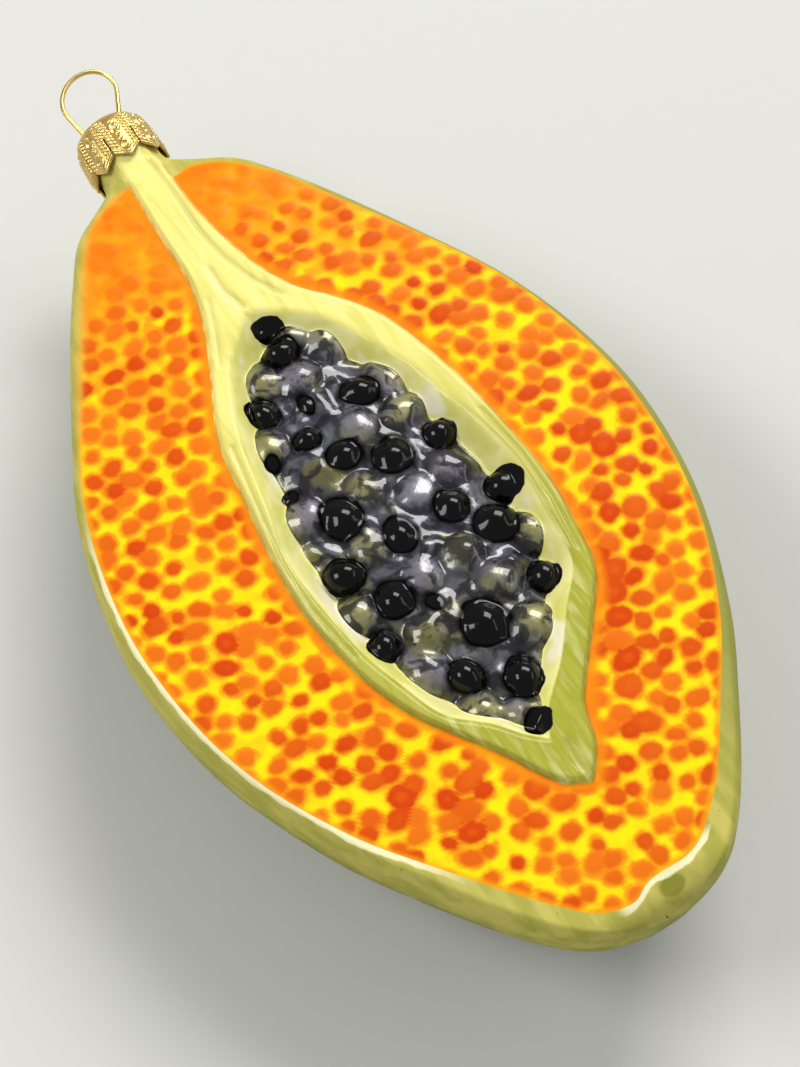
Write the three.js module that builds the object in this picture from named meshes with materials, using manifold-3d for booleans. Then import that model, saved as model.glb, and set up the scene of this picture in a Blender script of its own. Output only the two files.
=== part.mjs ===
// Half a papaya, blown in glass as a hanging ornament, lying on its round back with the cut face up.
// Millimetres, +Z up, +Y towards the hanger. The origin is the middle of the flat spot that it rests on.
// Heights in the tables are measured from the cut face, and lengths from the widest place of the fruit.
import * as THREE from "three";
import { mergeVertices } from "three/addons/utils/BufferGeometryUtils.js";
import Module from "manifold-3d";

const wasm = await Module();
wasm.setup();

// Driving dimensions of the blown glass
const FACE_HEIGHT = 27; // cut face above the flat spot
const REST_Y = 3; // the flat spot's middle, under the weight
const WALL = 1; // glass thickness
const HALF_WIDTH = [
  [-57.2, 2.6], [-56.8, 5.4], [-55.8, 8.6], [-54, 11.4], [-49, 16], [-40, 22.3], [-30, 28.4],
  [-15, 34.4], [0, 36.6], [12, 35.4], [24, 31.9], [36, 26], [46, 20.6], [55, 15.1], [59, 12.3],
  [62, 8.3], [64, 5.5], [65.4, 4.7], [67, 4.5], [72, 4.2],
];
const KEEL_DEPTH = [
  [-57.2, 6], [-55.8, 9.3], [-52, 13.4], [-44, 18.3], [-30, 23.4], [-15, 26.3], [-5, 27.3], [3, 27.5],
  [12, 27.3], [24, 25.2], [36, 22], [46, 18.7], [55, 14.8], [60, 12.2], [63, 10.9], [65.4, 10.2],
  [67, 10], [72, 9.2],
];
const RIM_WIDTH = [[-57, 1.8], [50, 1.8], [58, 3], [62, 5], [64.5, 5.2], [67, 4.3], [72, 3.9]];
const RIM_DROP = [[-57, 3.8], [52, 3.8], [60, 4.4], [67, 4.5], [72, 4.2]];
const FACE_END = { y: -53.8, length: 3.5 }; // where the cut face rounds over into the blossom end
// The neck leaves the face a little lower and turned up by some degrees
const NECK = { start: 60, blend: 4, sink: 1.1, tilt: 5, mouth: 71.4 };
const STATIONS = [
  -57.2, -56.8, -55.8, -54, -51, -46, -40, -34, -28, -22, -16, -11, -5, 1, 7, 13, 20, 27, 33, 38, 43, 48,
  52, 56, 58.5, 60.5, 62, 63.5, 65, 67, NECK.mouth,
];
// The air inside starts a thicker wall away from the blossom end and runs out past the mouth
const INSIDE = { blossomWall: 1.5, firstStation: 4, past: 2 };
const RIM_STEPS = 3;
const BELLY_STEPS = 15;

// Raised band round the seed hollow, which runs on as the stalk strip
const BAND_LEFT = [
  [-39.9, 0.5], [-38.8, -1.7], [-36, -3.7], [-31.7, -6], [-27.2, -8.9], [-22.8, -11.7], [-18.3, -13.6],
  [-13.9, -14.8], [-5, -16], [4, -15.6], [13, -14.2], [22, -12.6], [31.3, -8.3], [36, -6.2],
  [40.5, -4.7], [45, -3.8], [54, -3.4], [63, -2.6], [66, -2.4],
];
const BAND_RIGHT = [
  [-39.9, 1.3], [-37.7, 3.2], [-36, 4.3], [-31.4, 5.9], [-26.8, 9.6], [-22.2, 13.6], [-17.6, 17],
  [-13, 18.1], [-4, 19.3], [5, 18.9], [14, 17.9], [23, 15.8], [27.4, 14.2], [31.8, 11.3], [36.2, 7.6],
  [40.5, 5.5], [45, 4.2], [54, 2.8], [63, 3], [66, 2.8],
];
const BAND_RISE = [[-40, 0.75], [58, 0.75], [64, 0.25], [66, 0.1]];
const BAND = { bevel: 0.6, mostBevel: 0.35, edge: 0.2, root: 0.5, steps: 4 };
const BAND_STATIONS = [
  -39.9, -38.8, -37.7, -36, -34, -31.5, -29, -26.5, -24, -21, -18, -15, -12, -9, -5, 0, 5, 10, 14, 18,
  22, 25, 28, 31, 34, 36.5, 39, 42, 46, 50, 54, 58, 61, 63, 64.6,
];

// Seed hollow inside the band
const HOLLOW_LEFT = [
  [-33.1, -0.6], [-31.4, -2.5], [-28, -5.2], [-24.2, -9.2], [-17.8, -11.6], [-12, -13.2], [-1.8, -14.3],
  [4, -14.2], [10.4, -12.4], [19.5, -10.5], [25.3, -8.4], [30.1, -6], [33.2, -3.4], [35.7, -0.4],
];
const HOLLOW_RIGHT = [
  [-33.1, 0], [-29.7, 2.2], [-25.7, 6.6], [-20.1, 11.3], [-15.8, 15.1], [-9, 16.3], [0, 17.2],
  [7.9, 16.1], [12.6, 14.7], [17.4, 13.7], [23.8, 11.2], [29.8, 8.2], [33.6, 4.3], [35.7, 0.8],
];
const HOLLOW = { middle: [1.2, 1.3], half: [15.8, 34.4], depth: 3, slope: 3, steps: 22, lip: 0.6, above: 3 };
const HOLLOW_KNEE = { in: 0.55, down: 0.45 }; // where the hollow's wall turns towards its floor
const HEAP = { half: [13.6, 32.5], rise: 2.4, sides: [20, 10] }; // the bed swells towards its middle

// Black seeds: x, y, width, length and turn in degrees
const SEEDS = [
  [1.3, 33.6, 4, 3.2, -20], [1, 29.3, 4.5, 3.9, 0], [-5.5, 23, 3.7, 4.7, 30], [-0.3, 21.1, 1.8, 2.8, 0],
  [6.4, 19.2, 4.9, 4.4, -25], [-2.9, 16.7, 3.7, 3.2, 0], [-8.2, 16.2, 1.7, 2, 0],
  [-0.2, 12.3, 4.6, 4, -15], [-8.7, 11.2, 2.1, 1.8, 0], [4.9, 9.1, 5.3, 5.2, 0],
  [11.6, 9.1, 4.3, 5.3, 0], [-5.1, 5, 5.2, 5.9, 15], [-0.3, -0.8, 4.2, 5.1, -10],
  [-8.8, -1.6, 5.2, 4.6, -25], [7.1, -0.7, 4.6, 4.5, 0], [14.3, -1.3, 4.9, 4.2, -20],
  [10.6, -5.4, 6, 5.5, 0], [-5.6, -7.7, 4.7, 5, 0], [-9.8, -12, 4, 4.3, 0], [-1.7, -10.6, 1.9, 2.6, 30],
  [1.9, -16, 6, 6.4, 0], [11.6, -14.4, 3.9, 4.4, 0], [-3.7, -20.6, 4, 4.8, 25],
  [2, -24.2, 4.8, 5.6, -15], [0, -30.3, 3.5, 3.2, 30],
];
// Silvered lumps that fill the bed between them, in the same way
const LUMPS = [
  [10.2, 19.1, 6.4, 7.2, 0], [6.6, 28, 6.4, 7.2, 20], [-7.6, 18.4, 6, 6.4, 0], [-8.8, 7.6, 6.4, 5.8, 0],
  [-10.4, -6.8, 6, 6.2, 0], [13.6, -8.4, 5.4, 7, 0], [-7.3, -17.4, 6.6, 8.2, 15], [4.6, -7, 6.4, 6, 0],
  [-1, -6.6, 5.4, 6, 0], [6.6, -12, 6.2, 6, 0], [7, -19.2, 7.6, 6.4, -20], [9.9, 4.2, 6, 6, 0],
  [9.6, 14, 7.2, 5.4, 15], [-0.6, 6.8, 5.4, 6, 0], [1, 25, 6.4, 5.6, 0], [-3.4, 27, 5.6, 6.4, -20],
  [4.6, 3, 6.4, 6, 0], [-4.2, 0, 6, 6.4, 0], [-4.4, -25.2, 5.4, 6.4, 25], [3.4, 14.6, 6, 5.6, 0],
  [-4.4, -13.4, 5.6, 6, 0],
];
const SEED_TOP = 0.7;
const SMALL_SEED = 3.2; // seeds narrower than this sit lower
const LUMP_TOP = -0.1;
const PEBBLE_SIDES = { seed: [10, 6], lump: [8, 5] };

// Low dots that cover the flesh, larger and fewer than the painted ones
const DOTS = { wide: 1.7, top: 0.95, rise: 0.35, sunk: 0.5, margin: 2.3, sides: 6, least: 0.85, spread: 0.3 };
const DOT_ROWS = { pitch: 5.4, row: 4.8, from: -50.5, to: 57, side: 36, stray: 1.4 };
const RANDOM = { seed: 7, factor: 1664525, step: 1013904223, range: 2 ** 32 };

// Crown cap, along its own axis from the petal tips up, as [radius, height]
const CAP = { tips: 65.8, metal: 0.4, petals: 8, petalSteps: 6, tipDrop: 1.5, bulge: 0.3 };
const CAP_OUTSIDE = [
  [5.55, 0], [5.6, 1.6], [5.55, 3.2], [5.35, 5], [5, 6.6], [4.3, 7.7], [3, 8.4], [1.4, 8.7],
];
const SLIT = { width: 0.4, top: 4.6, through: 4 };
const SLOT = { x: 2.6, width: 1.4, depth: 1.4, through: 4 };

// Wire hanger, in the cap's own frame. From its foot up the ring leans to the right, by a share of the height
const WIRE = 0.66;
const RING = { radius: 3.85, middle: 13.7, step: 20, foot: 8.6, lean: 0.17 };
const LEG = [[-5.4, -8.5], [-4, -5.6], [-2.75, -1.5], [-2.55, 3], [-2.6, 8.2], [-3.3, 10.8]];
const WIRE_STEPS = 56;
const WIRE_SIDES = 8;

// A smooth line through [place, value] pairs, level past its two ends
function through(knots) {
  const last = knots.length - 1;
  const slopes = knots.map((_, i) => {
    const [a, b] = [knots[Math.max(i - 1, 0)], knots[Math.min(i + 1, last)]];
    return (b[1] - a[1]) / (b[0] - a[0]);
  });
  return (place) => {
    const p = THREE.MathUtils.clamp(place, knots[0][0], knots[last][0]);
    const i = Math.min(knots.findIndex((k, n) => n === last || p <= knots[n + 1][0]), last - 1);
    const span = knots[i + 1][0] - knots[i][0];
    const t = (p - knots[i][0]) / span;
    const [t2, t3] = [t * t, t * t * t];
    return (
      (2 * t3 - 3 * t2 + 1) * knots[i][1] +
      (t3 - 2 * t2 + t) * span * slopes[i] +
      (3 * t2 - 2 * t3) * knots[i + 1][1] +
      (t3 - t2) * span * slopes[i + 1]
    );
  };
}

const halfWidth = through(HALF_WIDTH);
const keelDepth = through(KEEL_DEPTH);
const rimWidth = through(RIM_WIDTH);
const rimDrop = through(RIM_DROP);
const bandLeft = through(BAND_LEFT);
const bandRight = through(BAND_RIGHT);
const bandRise = through(BAND_RISE);
const hollowLeft = through(HOLLOW_LEFT);
const hollowRight = through(HOLLOW_RIGHT);

// Height of the cut face's middle: level, rounded over at the blossom end, lower and tilted at the neck
function faceTop(y) {
  const past = THREE.MathUtils.clamp((FACE_END.y - y) / FACE_END.length, 0, 1);
  const end = rimDrop(y) * (1 - Math.sqrt(1 - past * past));
  const sink = NECK.sink * THREE.MathUtils.smoothstep(y, NECK.start - NECK.blend, NECK.start + NECK.blend);
  const tilt = Math.tan(THREE.MathUtils.degToRad(NECK.tilt)) * Math.max(0, y - NECK.start);
  return tilt - end - sink;
}

// Height of the bare glass at a place on the face or on the rim
function glassTop(x, y) {
  const rim = rimWidth(y);
  const past = THREE.MathUtils.clamp((Math.abs(x) - (halfWidth(y) - rim)) / rim, 0, 1);
  return faceTop(y) - rimDrop(y) * (1 - Math.sqrt(1 - past * past));
}

// Section of the glass across its length, anticlockwise as seen from +Y, made smaller by the inset
function section(y, inset) {
  const w = halfWidth(y) - inset;
  const rim = Math.min(rimWidth(y), w - 0.2);
  const top = faceTop(y) - inset;
  const widest = faceTop(y) - rimDrop(y);
  const keel = Math.max(keelDepth(y) + widest - inset, 0.5);
  const right = [];
  for (let i = 0; i <= RIM_STEPS; i++) {
    const a = (i / RIM_STEPS) * (Math.PI / 2);
    right.push([w - rim + rim * Math.sin(a), widest + (top - widest) * Math.cos(a)]);
  }
  const belly = [];
  for (let i = 1; i < BELLY_STEPS; i++) {
    const a = (i / BELLY_STEPS) * Math.PI;
    belly.push([w * Math.cos(a), Math.max(widest - keel * Math.sin(a), -FACE_HEIGHT + inset)]);
  }
  const left = right.map(([x, z]) => [-x, z]).reverse();
  return [...right, ...belly, ...left].map(([x, z]) => new THREE.Vector3(x, y, z));
}

// A closed solid through a stack of closed loops with as many points each; flat gives a point's place in
// the plane of the two end loops, where a loop runs anticlockwise as seen from the last loop's side
function loft(loops, flat) {
  const count = loops[0].length;
  const points = loops.flat();
  const index = [];
  for (let i = 0; i + 1 < loops.length; i++) {
    for (let j = 0; j < count; j++) {
      const [a, b] = [i * count + j, i * count + ((j + 1) % count)];
      index.push(a, b, b + count, a, b + count, a + count);
    }
  }
  const ends = [loops[0], loops[loops.length - 1]].map((loop) =>
    THREE.ShapeUtils.triangulateShape(loop.map((p) => new THREE.Vector2(...flat(p))), []),
  );
  const lastLoop = count * (loops.length - 1);
  ends[0].forEach(([a, b, c]) => index.push(a, c, b));
  ends[1].forEach(([a, b, c]) => index.push(a + lastLoop, b + lastLoop, c + lastLoop));
  return new THREE.BufferGeometry().setFromPoints(points).setIndex(index);
}

const acrossY = (p) => [p.z, p.x];
const acrossZ = (p) => [p.x, p.y];

// A three.js geometry as a solid that can be joined and cut
function solidOf(geometry) {
  const bare = geometry.clone();
  bare.deleteAttribute("normal");
  bare.deleteAttribute("uv");
  const merged = mergeVertices(bare, 1e-4);
  const vertProperties = new Float32Array(merged.attributes.position.array);
  return new wasm.Manifold(
    new wasm.Mesh({ numProp: 3, vertProperties, triVerts: new Uint32Array(merged.index.array) }),
  );
}

function joined(solids) {
  return solids.reduce((all, one) => all.add(one));
}

// The loop of the seed hollow's edge, moved inwards and set at a height
function hollowLoop(inwards, z) {
  const shrink = HOLLOW.half.map((half) => 1 - inwards / half);
  const place = (x, y) =>
    new THREE.Vector3(
      HOLLOW.middle[0] + (x - HOLLOW.middle[0]) * shrink[0],
      HOLLOW.middle[1] + (y - HOLLOW.middle[1]) * shrink[1],
      z,
    );
  const [low, high] = [HOLLOW_LEFT[0][0], HOLLOW_LEFT[HOLLOW_LEFT.length - 1][0]];
  const ys = Array.from(
    { length: HOLLOW.steps + 1 },
    (_, i) => (low + high) / 2 - ((high - low) / 2) * Math.cos((i / HOLLOW.steps) * Math.PI),
  );
  const right = ys.map((y) => place(hollowRight(y), y));
  const left = ys.map((y) => place(hollowLeft(y), y)).reverse();
  return [...right, ...left];
}

// The seed hollow as a solid to cut away, grown by a wall where it is kept out of the inside
function hollowSolid(grown) {
  const heights = [
    [-HOLLOW.lip - grown, HOLLOW.above],
    [-grown, BAND_RISE[0][1] - grown],
    [HOLLOW.slope * HOLLOW_KNEE.in - grown, -HOLLOW.depth * HOLLOW_KNEE.down - grown],
    [HOLLOW.slope - grown, -HOLLOW.depth - grown],
  ];
  return solidOf(loft(heights.map(([inwards, z]) => hollowLoop(inwards, z)).reverse(), acrossZ));
}

// The raised band: a low ridge with bevelled edges that lies on the glass
function bandSolid() {
  const loops = BAND_STATIONS.map((y) => {
    const [left, right] = [bandLeft(y), bandRight(y)];
    const bevel = Math.min(BAND.bevel, (right - left) * BAND.mostBevel);
    const tops = Array.from(
      { length: BAND.steps + 1 },
      (_, i) => right - bevel - (right - left - 2 * bevel) * (i / BAND.steps),
    );
    const side = (x) => [
      [x, glassTop(x, y) - BAND.root],
      [x, glassTop(x, y) + bandRise(y) * BAND.edge],
    ];
    const edge = [
      ...side(right),
      ...tops.map((x) => [x, glassTop(x, y) + bandRise(y)]),
      ...side(left).reverse(),
    ];
    return edge.map(([x, z]) => new THREE.Vector3(x, y, z)).reverse();
  });
  return solidOf(loft(loops, acrossY));
}

// A seed or lump: an egg-shaped solid with its root in the bed; small ones sit lower than the given height
function pebble([x, y, width, length, turn], highest, sides) {
  const mean = (width + length) / 2;
  const top = highest - Math.max(0, SMALL_SEED - mean);
  const tall = Math.max(mean / 2, (top + HOLLOW.depth) / 2);
  const shape = new THREE.SphereGeometry(1, ...sides).rotateX(Math.PI / 2);
  shape.scale(width / 2, length / 2, tall).rotateZ(THREE.MathUtils.degToRad(turn));
  return solidOf(shape.translate(x, y, top - tall));
}

function heapSolid() {
  const shape = new THREE.SphereGeometry(1, ...HEAP.sides).rotateX(Math.PI / 2);
  shape.scale(...HEAP.half, HEAP.rise);
  return solidOf(shape.translate(...HOLLOW.middle, -HOLLOW.depth));
}

// Seeded random numbers from 0 to 1
function seeded(state) {
  return () => {
    state = (state * RANDOM.factor + RANDOM.step) % RANDOM.range;
    return state / RANDOM.range;
  };
}

// Whether a dot would touch the raised band or its tip
function onBand(x, y) {
  const across = x > bandLeft(y) - DOTS.margin && x < bandRight(y) + DOTS.margin;
  return across && y > BAND_LEFT[0][0] - DOTS.margin;
}

// Places of the flesh dots: rows across the fruit, each dot moved a little off its place
function dotPlaces() {
  const random = seeded(RANDOM.seed);
  const places = [];
  for (let row = 0; DOT_ROWS.from + row * DOT_ROWS.row <= DOT_ROWS.to; row++) {
    const rowY = DOT_ROWS.from + row * DOT_ROWS.row;
    const shift = (row % 2) * (DOT_ROWS.pitch / 2);
    for (let rowX = shift - DOT_ROWS.side; rowX <= DOT_ROWS.side; rowX += DOT_ROWS.pitch) {
      const x = rowX + (random() - 0.5) * DOT_ROWS.stray;
      const y = rowY + (random() - 0.5) * DOT_ROWS.stray;
      const size = DOTS.least + DOTS.spread * random();
      const inside = Math.abs(x) < halfWidth(y) - rimWidth(y) - DOTS.margin;
      if (inside && !onBand(x, y)) places.push([x, y, size]);
    }
  }
  return places;
}

function dotSolid([x, y, size]) {
  const high = DOTS.rise + DOTS.sunk;
  const shape = new THREE.CylinderGeometry(DOTS.top * size, DOTS.wide * size, high, DOTS.sides);
  return solidOf(shape.rotateX(Math.PI / 2).translate(x, y, glassTop(x, y) + DOTS.rise - high / 2));
}

// The air inside: the outside moved in by the wall, from the blossom end out through the neck
function insideSolid() {
  const between = STATIONS.filter((_, i) => i >= INSIDE.firstStation && i % 2);
  const stations = [STATIONS[0] + INSIDE.blossomWall, ...between, NECK.mouth + INSIDE.past];
  return solidOf(loft(stations.map((y) => section(y, WALL)), acrossY));
}

// The whole blown glass: one shell, open at the neck
function glassSolid() {
  const outside = solidOf(loft(STATIONS.map((y) => section(y, 0)), acrossY));
  const seeds = SEEDS.map((seed) => pebble(seed, SEED_TOP, PEBBLE_SIDES.seed));
  const lumps = LUMPS.map((lump) => pebble(lump, LUMP_TOP, PEBBLE_SIDES.lump));
  const bed = [heapSolid(), ...seeds, ...lumps];
  const face = outside.add(bandSolid()).subtract(hollowSolid(0)).add(joined(bed));
  const dots = joined(dotPlaces().map(dotSolid));
  return face.add(dots).subtract(insideSolid().subtract(hollowSolid(WALL)));
}

// Radius of the cap's outside at a height, for the petal edges
const capRadius = through(CAP_OUTSIDE.map(([radius, height]) => [height, radius]));

// The crown cap: a thin dome whose skirt ends in pointed petals that swell between the slits
function capSolid() {
  const inside = CAP_OUTSIDE.map(([radius, height]) => [
    radius - CAP.metal,
    Math.max(height - CAP.metal, 0),
  ]);
  const top = CAP_OUTSIDE[CAP_OUTSIDE.length - 1][1];
  const profile = [[0, top - CAP.metal], ...inside.reverse(), ...CAP_OUTSIDE, [0, top]];
  const shape = new THREE.LatheGeometry(
    profile.map(([radius, height]) => new THREE.Vector2(radius, height)),
    CAP.petals * CAP.petalSteps,
  );
  const place = shape.attributes.position;
  for (let i = 0; i < place.count; i++) {
    const [x, y, z] = [place.getX(i), place.getY(i), place.getZ(i)];
    const across = Math.cos(CAP.petals * Math.atan2(x, z));
    const low = THREE.MathUtils.clamp(1 - y / SLIT.top, 0, 1);
    const swell = 1 + ((CAP.bulge * (across - 1)) / 2 / capRadius(y)) * low;
    const cut = CAP.tipDrop * (1 - Math.abs(Math.acos(across) / Math.PI - 1)) * low * low;
    place.setXYZ(i, x * swell, y + cut, z * swell);
  }
  const slits = [];
  for (let i = 0; i < CAP.petals; i++) {
    const slit = new THREE.BoxGeometry(SLIT.width, SLIT.top * 2, SLIT.through);
    const turn = ((i + 0.5) / CAP.petals) * 2 * Math.PI;
    slits.push(solidOf(slit.translate(0, 0, capRadius(0)).rotateY(turn)));
  }
  const slots = [-1, 1].map((side) => {
    const slot = new THREE.BoxGeometry(SLOT.width, SLOT.through, SLOT.depth);
    return solidOf(slot.translate(side * SLOT.x, top, 0));
  });
  return solidOf(shape).subtract(joined([...slits, ...slots]));
}

// The hanger: one wire that goes up through a slot, round the ring and down through the other slot
function hangerSolid() {
  const arc = [];
  for (let degrees = 180; degrees >= 0; degrees -= RING.step) {
    const a = THREE.MathUtils.degToRad(degrees);
    arc.push([RING.radius * Math.cos(a), RING.middle + RING.radius * Math.sin(a)]);
  }
  const back = LEG.map(([x, y]) => [-x, y]).reverse();
  const route = [...LEG, ...arc, ...back].map(
    ([x, y]) => new THREE.Vector3(x + RING.lean * Math.max(0, y - RING.foot), y, 0),
  );
  const round = new THREE.Shape();
  for (let i = 0; i < WIRE_SIDES; i++) {
    const a = (i / WIRE_SIDES) * 2 * Math.PI;
    const corner = [(WIRE / 2) * Math.cos(a), (WIRE / 2) * Math.sin(a)];
    if (i) round.lineTo(...corner);
    else round.moveTo(...corner);
  }
  round.closePath();
  const extrudePath = new THREE.CatmullRomCurve3(route);
  return solidOf(new THREE.ExtrudeGeometry(round, { steps: WIRE_STEPS, extrudePath }));
}

function meshOf(name, solid, material) {
  const { vertProperties, triVerts, numProp } = solid.getMesh();
  const geometry = new THREE.BufferGeometry();
  const positions = new Float32Array((vertProperties.length / numProp) * 3);
  for (let i = 0; i * numProp < vertProperties.length; i++) {
    positions.set(vertProperties.subarray(i * numProp, i * numProp + 3), i * 3);
  }
  geometry.setAttribute("position", new THREE.BufferAttribute(positions, 3));
  geometry.setIndex(new THREE.BufferAttribute(new Uint32Array(triVerts), 1));
  geometry.computeVertexNormals();
  const mesh = new THREE.Mesh(geometry, material);
  mesh.name = name;
  return mesh;
}

const paintedGlass = new THREE.MeshStandardMaterial({ color: 0xf08a1c, roughness: 0.2, metalness: 0 });
const goldTin = new THREE.MeshStandardMaterial({ color: 0xc79a4e, roughness: 0.3, metalness: 1 });
const goldWire = new THREE.MeshStandardMaterial({ color: 0xcfa45c, roughness: 0.25, metalness: 1 });

// The cap and the hanger stand in one frame on the neck's axis
const crown = new THREE.Group();
crown.add(meshOf("cap", capSolid(), goldTin), meshOf("hanger", hangerSolid(), goldWire));
crown.position.set(0, CAP.tips, faceTop(CAP.tips) - rimDrop(CAP.tips));
crown.rotation.x = THREE.MathUtils.degToRad(NECK.tilt);

const ornament = new THREE.Group();
ornament.add(meshOf("glass_body", glassSolid(), paintedGlass), crown);
ornament.position.set(0, -REST_Y, FACE_HEIGHT);

const part = new THREE.Group();
part.add(ornament);

export default part;
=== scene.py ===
"""Dresses a papaya-half ornament: painted blown glass, a stamped crown cap and a wire hanger.

Run as a script, it builds every piece. Lengths are metres in the solids' own frame, +Z up and +Y towards the
hanger. The tables are measured on the cut face, from the fruit's widest place and from the face's height.
"""

import math

import bpy
import numpy as np
from bpy.props import FloatProperty, FloatVectorProperty, IntProperty, PointerProperty
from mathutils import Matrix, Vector, noise


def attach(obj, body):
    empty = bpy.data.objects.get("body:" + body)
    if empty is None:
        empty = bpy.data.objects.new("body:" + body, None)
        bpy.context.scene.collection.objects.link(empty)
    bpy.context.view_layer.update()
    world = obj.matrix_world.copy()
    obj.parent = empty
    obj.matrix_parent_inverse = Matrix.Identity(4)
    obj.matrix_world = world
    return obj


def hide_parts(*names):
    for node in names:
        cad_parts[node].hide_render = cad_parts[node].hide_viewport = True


bl_info = {
    "name": "Papaya ornament",
    "version": (1, 0, 0),
    "blender": (4, 5, 0),
    "location": "View3D > Sidebar > Ornament",
    "description": "Builds the painted glass, the crown cap, the wire hanger and the stage",
    "category": "Add Mesh",
}

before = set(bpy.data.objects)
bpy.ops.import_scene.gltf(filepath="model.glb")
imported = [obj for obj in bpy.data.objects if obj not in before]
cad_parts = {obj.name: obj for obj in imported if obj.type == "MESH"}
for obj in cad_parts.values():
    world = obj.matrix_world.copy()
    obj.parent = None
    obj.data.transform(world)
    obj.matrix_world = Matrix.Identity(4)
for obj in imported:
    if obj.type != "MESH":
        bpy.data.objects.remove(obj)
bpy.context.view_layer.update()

MM = 0.001


def mm(*rows):
    """A table written in millimetres, kept in metres."""
    return MM * np.array(rows, float)


# The blown glass, as in the solids: half-width, depth of the back, and the rim's width and drop along Y
HALF_WIDTH = mm(
    (-57.2, 2.6), (-56.8, 5.4), (-55.8, 8.6), (-54, 11.4), (-49, 16), (-40, 22.3), (-30, 28.4),
    (-15, 34.4), (0, 36.6), (12, 35.4), (24, 31.9), (36, 26), (46, 20.6), (55, 15.1), (59, 12.3),
    (62, 8.3), (64, 5.5), (65.4, 4.7), (67, 4.5), (72, 4.2),
)
KEEL_DEPTH = mm(
    (-57.2, 6), (-55.8, 9.3), (-52, 13.4), (-44, 18.3), (-30, 23.4), (-15, 26.3), (-5, 27.3), (3, 27.5),
    (12, 27.3), (24, 25.2), (36, 22), (46, 18.7), (55, 14.8), (60, 12.2), (63, 10.9), (65.4, 10.2),
    (67, 10), (72, 9.2),
)
RIM_WIDTH = mm((-57, 1.8), (50, 1.8), (58, 3), (62, 5), (64.5, 5.2), (67, 4.3), (72, 3.9))
RIM_DROP = mm((-57, 3.8), (52, 3.8), (60, 4.4), (67, 4.5), (72, 4.2))
BAND_LEFT = mm(
    (-39.9, 0.5), (-38.8, -1.7), (-36, -3.7), (-31.7, -6), (-27.2, -8.9), (-22.8, -11.7), (-18.3, -13.6),
    (-13.9, -14.8), (-5, -16), (4, -15.6), (13, -14.2), (22, -12.6), (31.3, -8.3), (36, -6.2),
    (40.5, -4.7), (45, -3.8), (54, -3.4), (63, -2.6), (66, -2.4),
)
BAND_RIGHT = mm(
    (-39.9, 1.3), (-37.7, 3.2), (-36, 4.3), (-31.4, 5.9), (-26.8, 9.6), (-22.2, 13.6), (-17.6, 17),
    (-13, 18.1), (-4, 19.3), (5, 18.9), (14, 17.9), (23, 15.8), (27.4, 14.2), (31.8, 11.3), (36.2, 7.6),
    (40.5, 5.5), (45, 4.2), (54, 2.8), (63, 3), (66, 2.8),
)
BAND_RISE = mm((-40, 0.75), (58, 0.75), (64, 0.25), (66, 0.1))
HOLLOW_LEFT = mm(
    (-33.1, -0.6), (-31.4, -2.5), (-28, -5.2), (-24.2, -9.2), (-17.8, -11.6), (-12, -13.2), (-1.8, -14.3),
    (4, -14.2), (10.4, -12.4), (19.5, -10.5), (25.3, -8.4), (30.1, -6), (33.2, -3.4), (35.7, -0.4),
)
HOLLOW_RIGHT = mm(
    (-33.1, 0), (-29.7, 2.2), (-25.7, 6.6), (-20.1, 11.3), (-15.8, 15.1), (-9, 16.3), (0, 17.2),
    (7.9, 16.1), (12.6, 14.7), (17.4, 13.7), (23.8, 11.2), (29.8, 8.2), (33.6, 4.3), (35.7, 0.8),
)
# Black seeds and the silvered lumps between them: x, y, width and length, then the turn in degrees
SEEDS = (
    (1.3, 33.2, 4, 2.4, -20), (1, 29.3, 4.5, 3.9, 0), (-5.5, 23, 3.7, 4.7, 30), (-0.3, 21.1, 1.8, 2.8, 0),
    (6.4, 19.2, 4.9, 4.4, -25), (-2.9, 16.7, 3.7, 3.2, 0), (-8.2, 16.2, 1.7, 2, 0),
    (-0.2, 12.3, 4.6, 4, -15), (-8.7, 11.2, 2.1, 1.8, 0), (4.9, 9.1, 5.3, 5.2, 0),
    (11.6, 8.9, 4.3, 4.3, 0), (-5.1, 5, 5.2, 5.9, 15), (-0.3, -0.8, 4.2, 5.1, -10),
    (-8.8, -1.6, 5.2, 4.6, -25), (7.1, -0.7, 4.6, 4.5, 0), (14.3, -1.3, 4.9, 4.2, -20),
    (10.6, -5.4, 6, 5.5, 0), (-5.6, -7.7, 4.7, 5, 0), (-9.8, -12, 4, 4.3, 0), (-1.7, -10.6, 1.9, 2.6, 30),
    (1.9, -16, 6, 6.4, 0), (11.6, -14.4, 3.9, 4.4, 0), (-3.7, -20.6, 4, 4.8, 25),
    (2, -24.2, 4.8, 5.6, -15), (0, -30.3, 3.5, 3.2, 30),
)
LUMPS = (
    (10.2, 19.1, 6.4, 7.2, 0), (6.6, 28, 6.4, 7.2, 20), (-7.6, 18.4, 6, 6.4, 0), (-8.8, 7.6, 6.4, 5.8, 0),
    (-10.4, -6.8, 6, 6.2, 0), (13.6, -8.4, 5.4, 7, 0), (-7.3, -17.4, 6.6, 8.2, 15), (4.6, -7, 6.4, 6, 0),
    (-1, -6.6, 5.4, 6, 0), (6.6, -12, 6.2, 6, 0), (7, -19.2, 7.6, 6.4, -20), (9.9, 4.2, 6, 6, 0),
    (9.6, 14, 7.2, 5.4, 15), (-0.6, 6.8, 5.4, 6, 0), (1, 25, 6.4, 5.6, 0), (-3.4, 27, 5.6, 6.4, -20),
    (4.6, 3, 6.4, 6, 0), (-4.2, 0, 6, 6.4, 0), (-4.4, -25.2, 5.4, 6.4, 25), (3.4, 14.6, 6, 5.6, 0),
    (-4.4, -13.4, 5.6, 6, 0), (3.2, 30.8, 5, 4.6, 0), (-1, -28, 4.6, 5.2, 20), (1.2, -28.8, 4, 4.4, 0),
)
REST_Y = 3 * MM  # from the widest place to the flat spot under the back
WIDEST = 36.62 * MM
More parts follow.
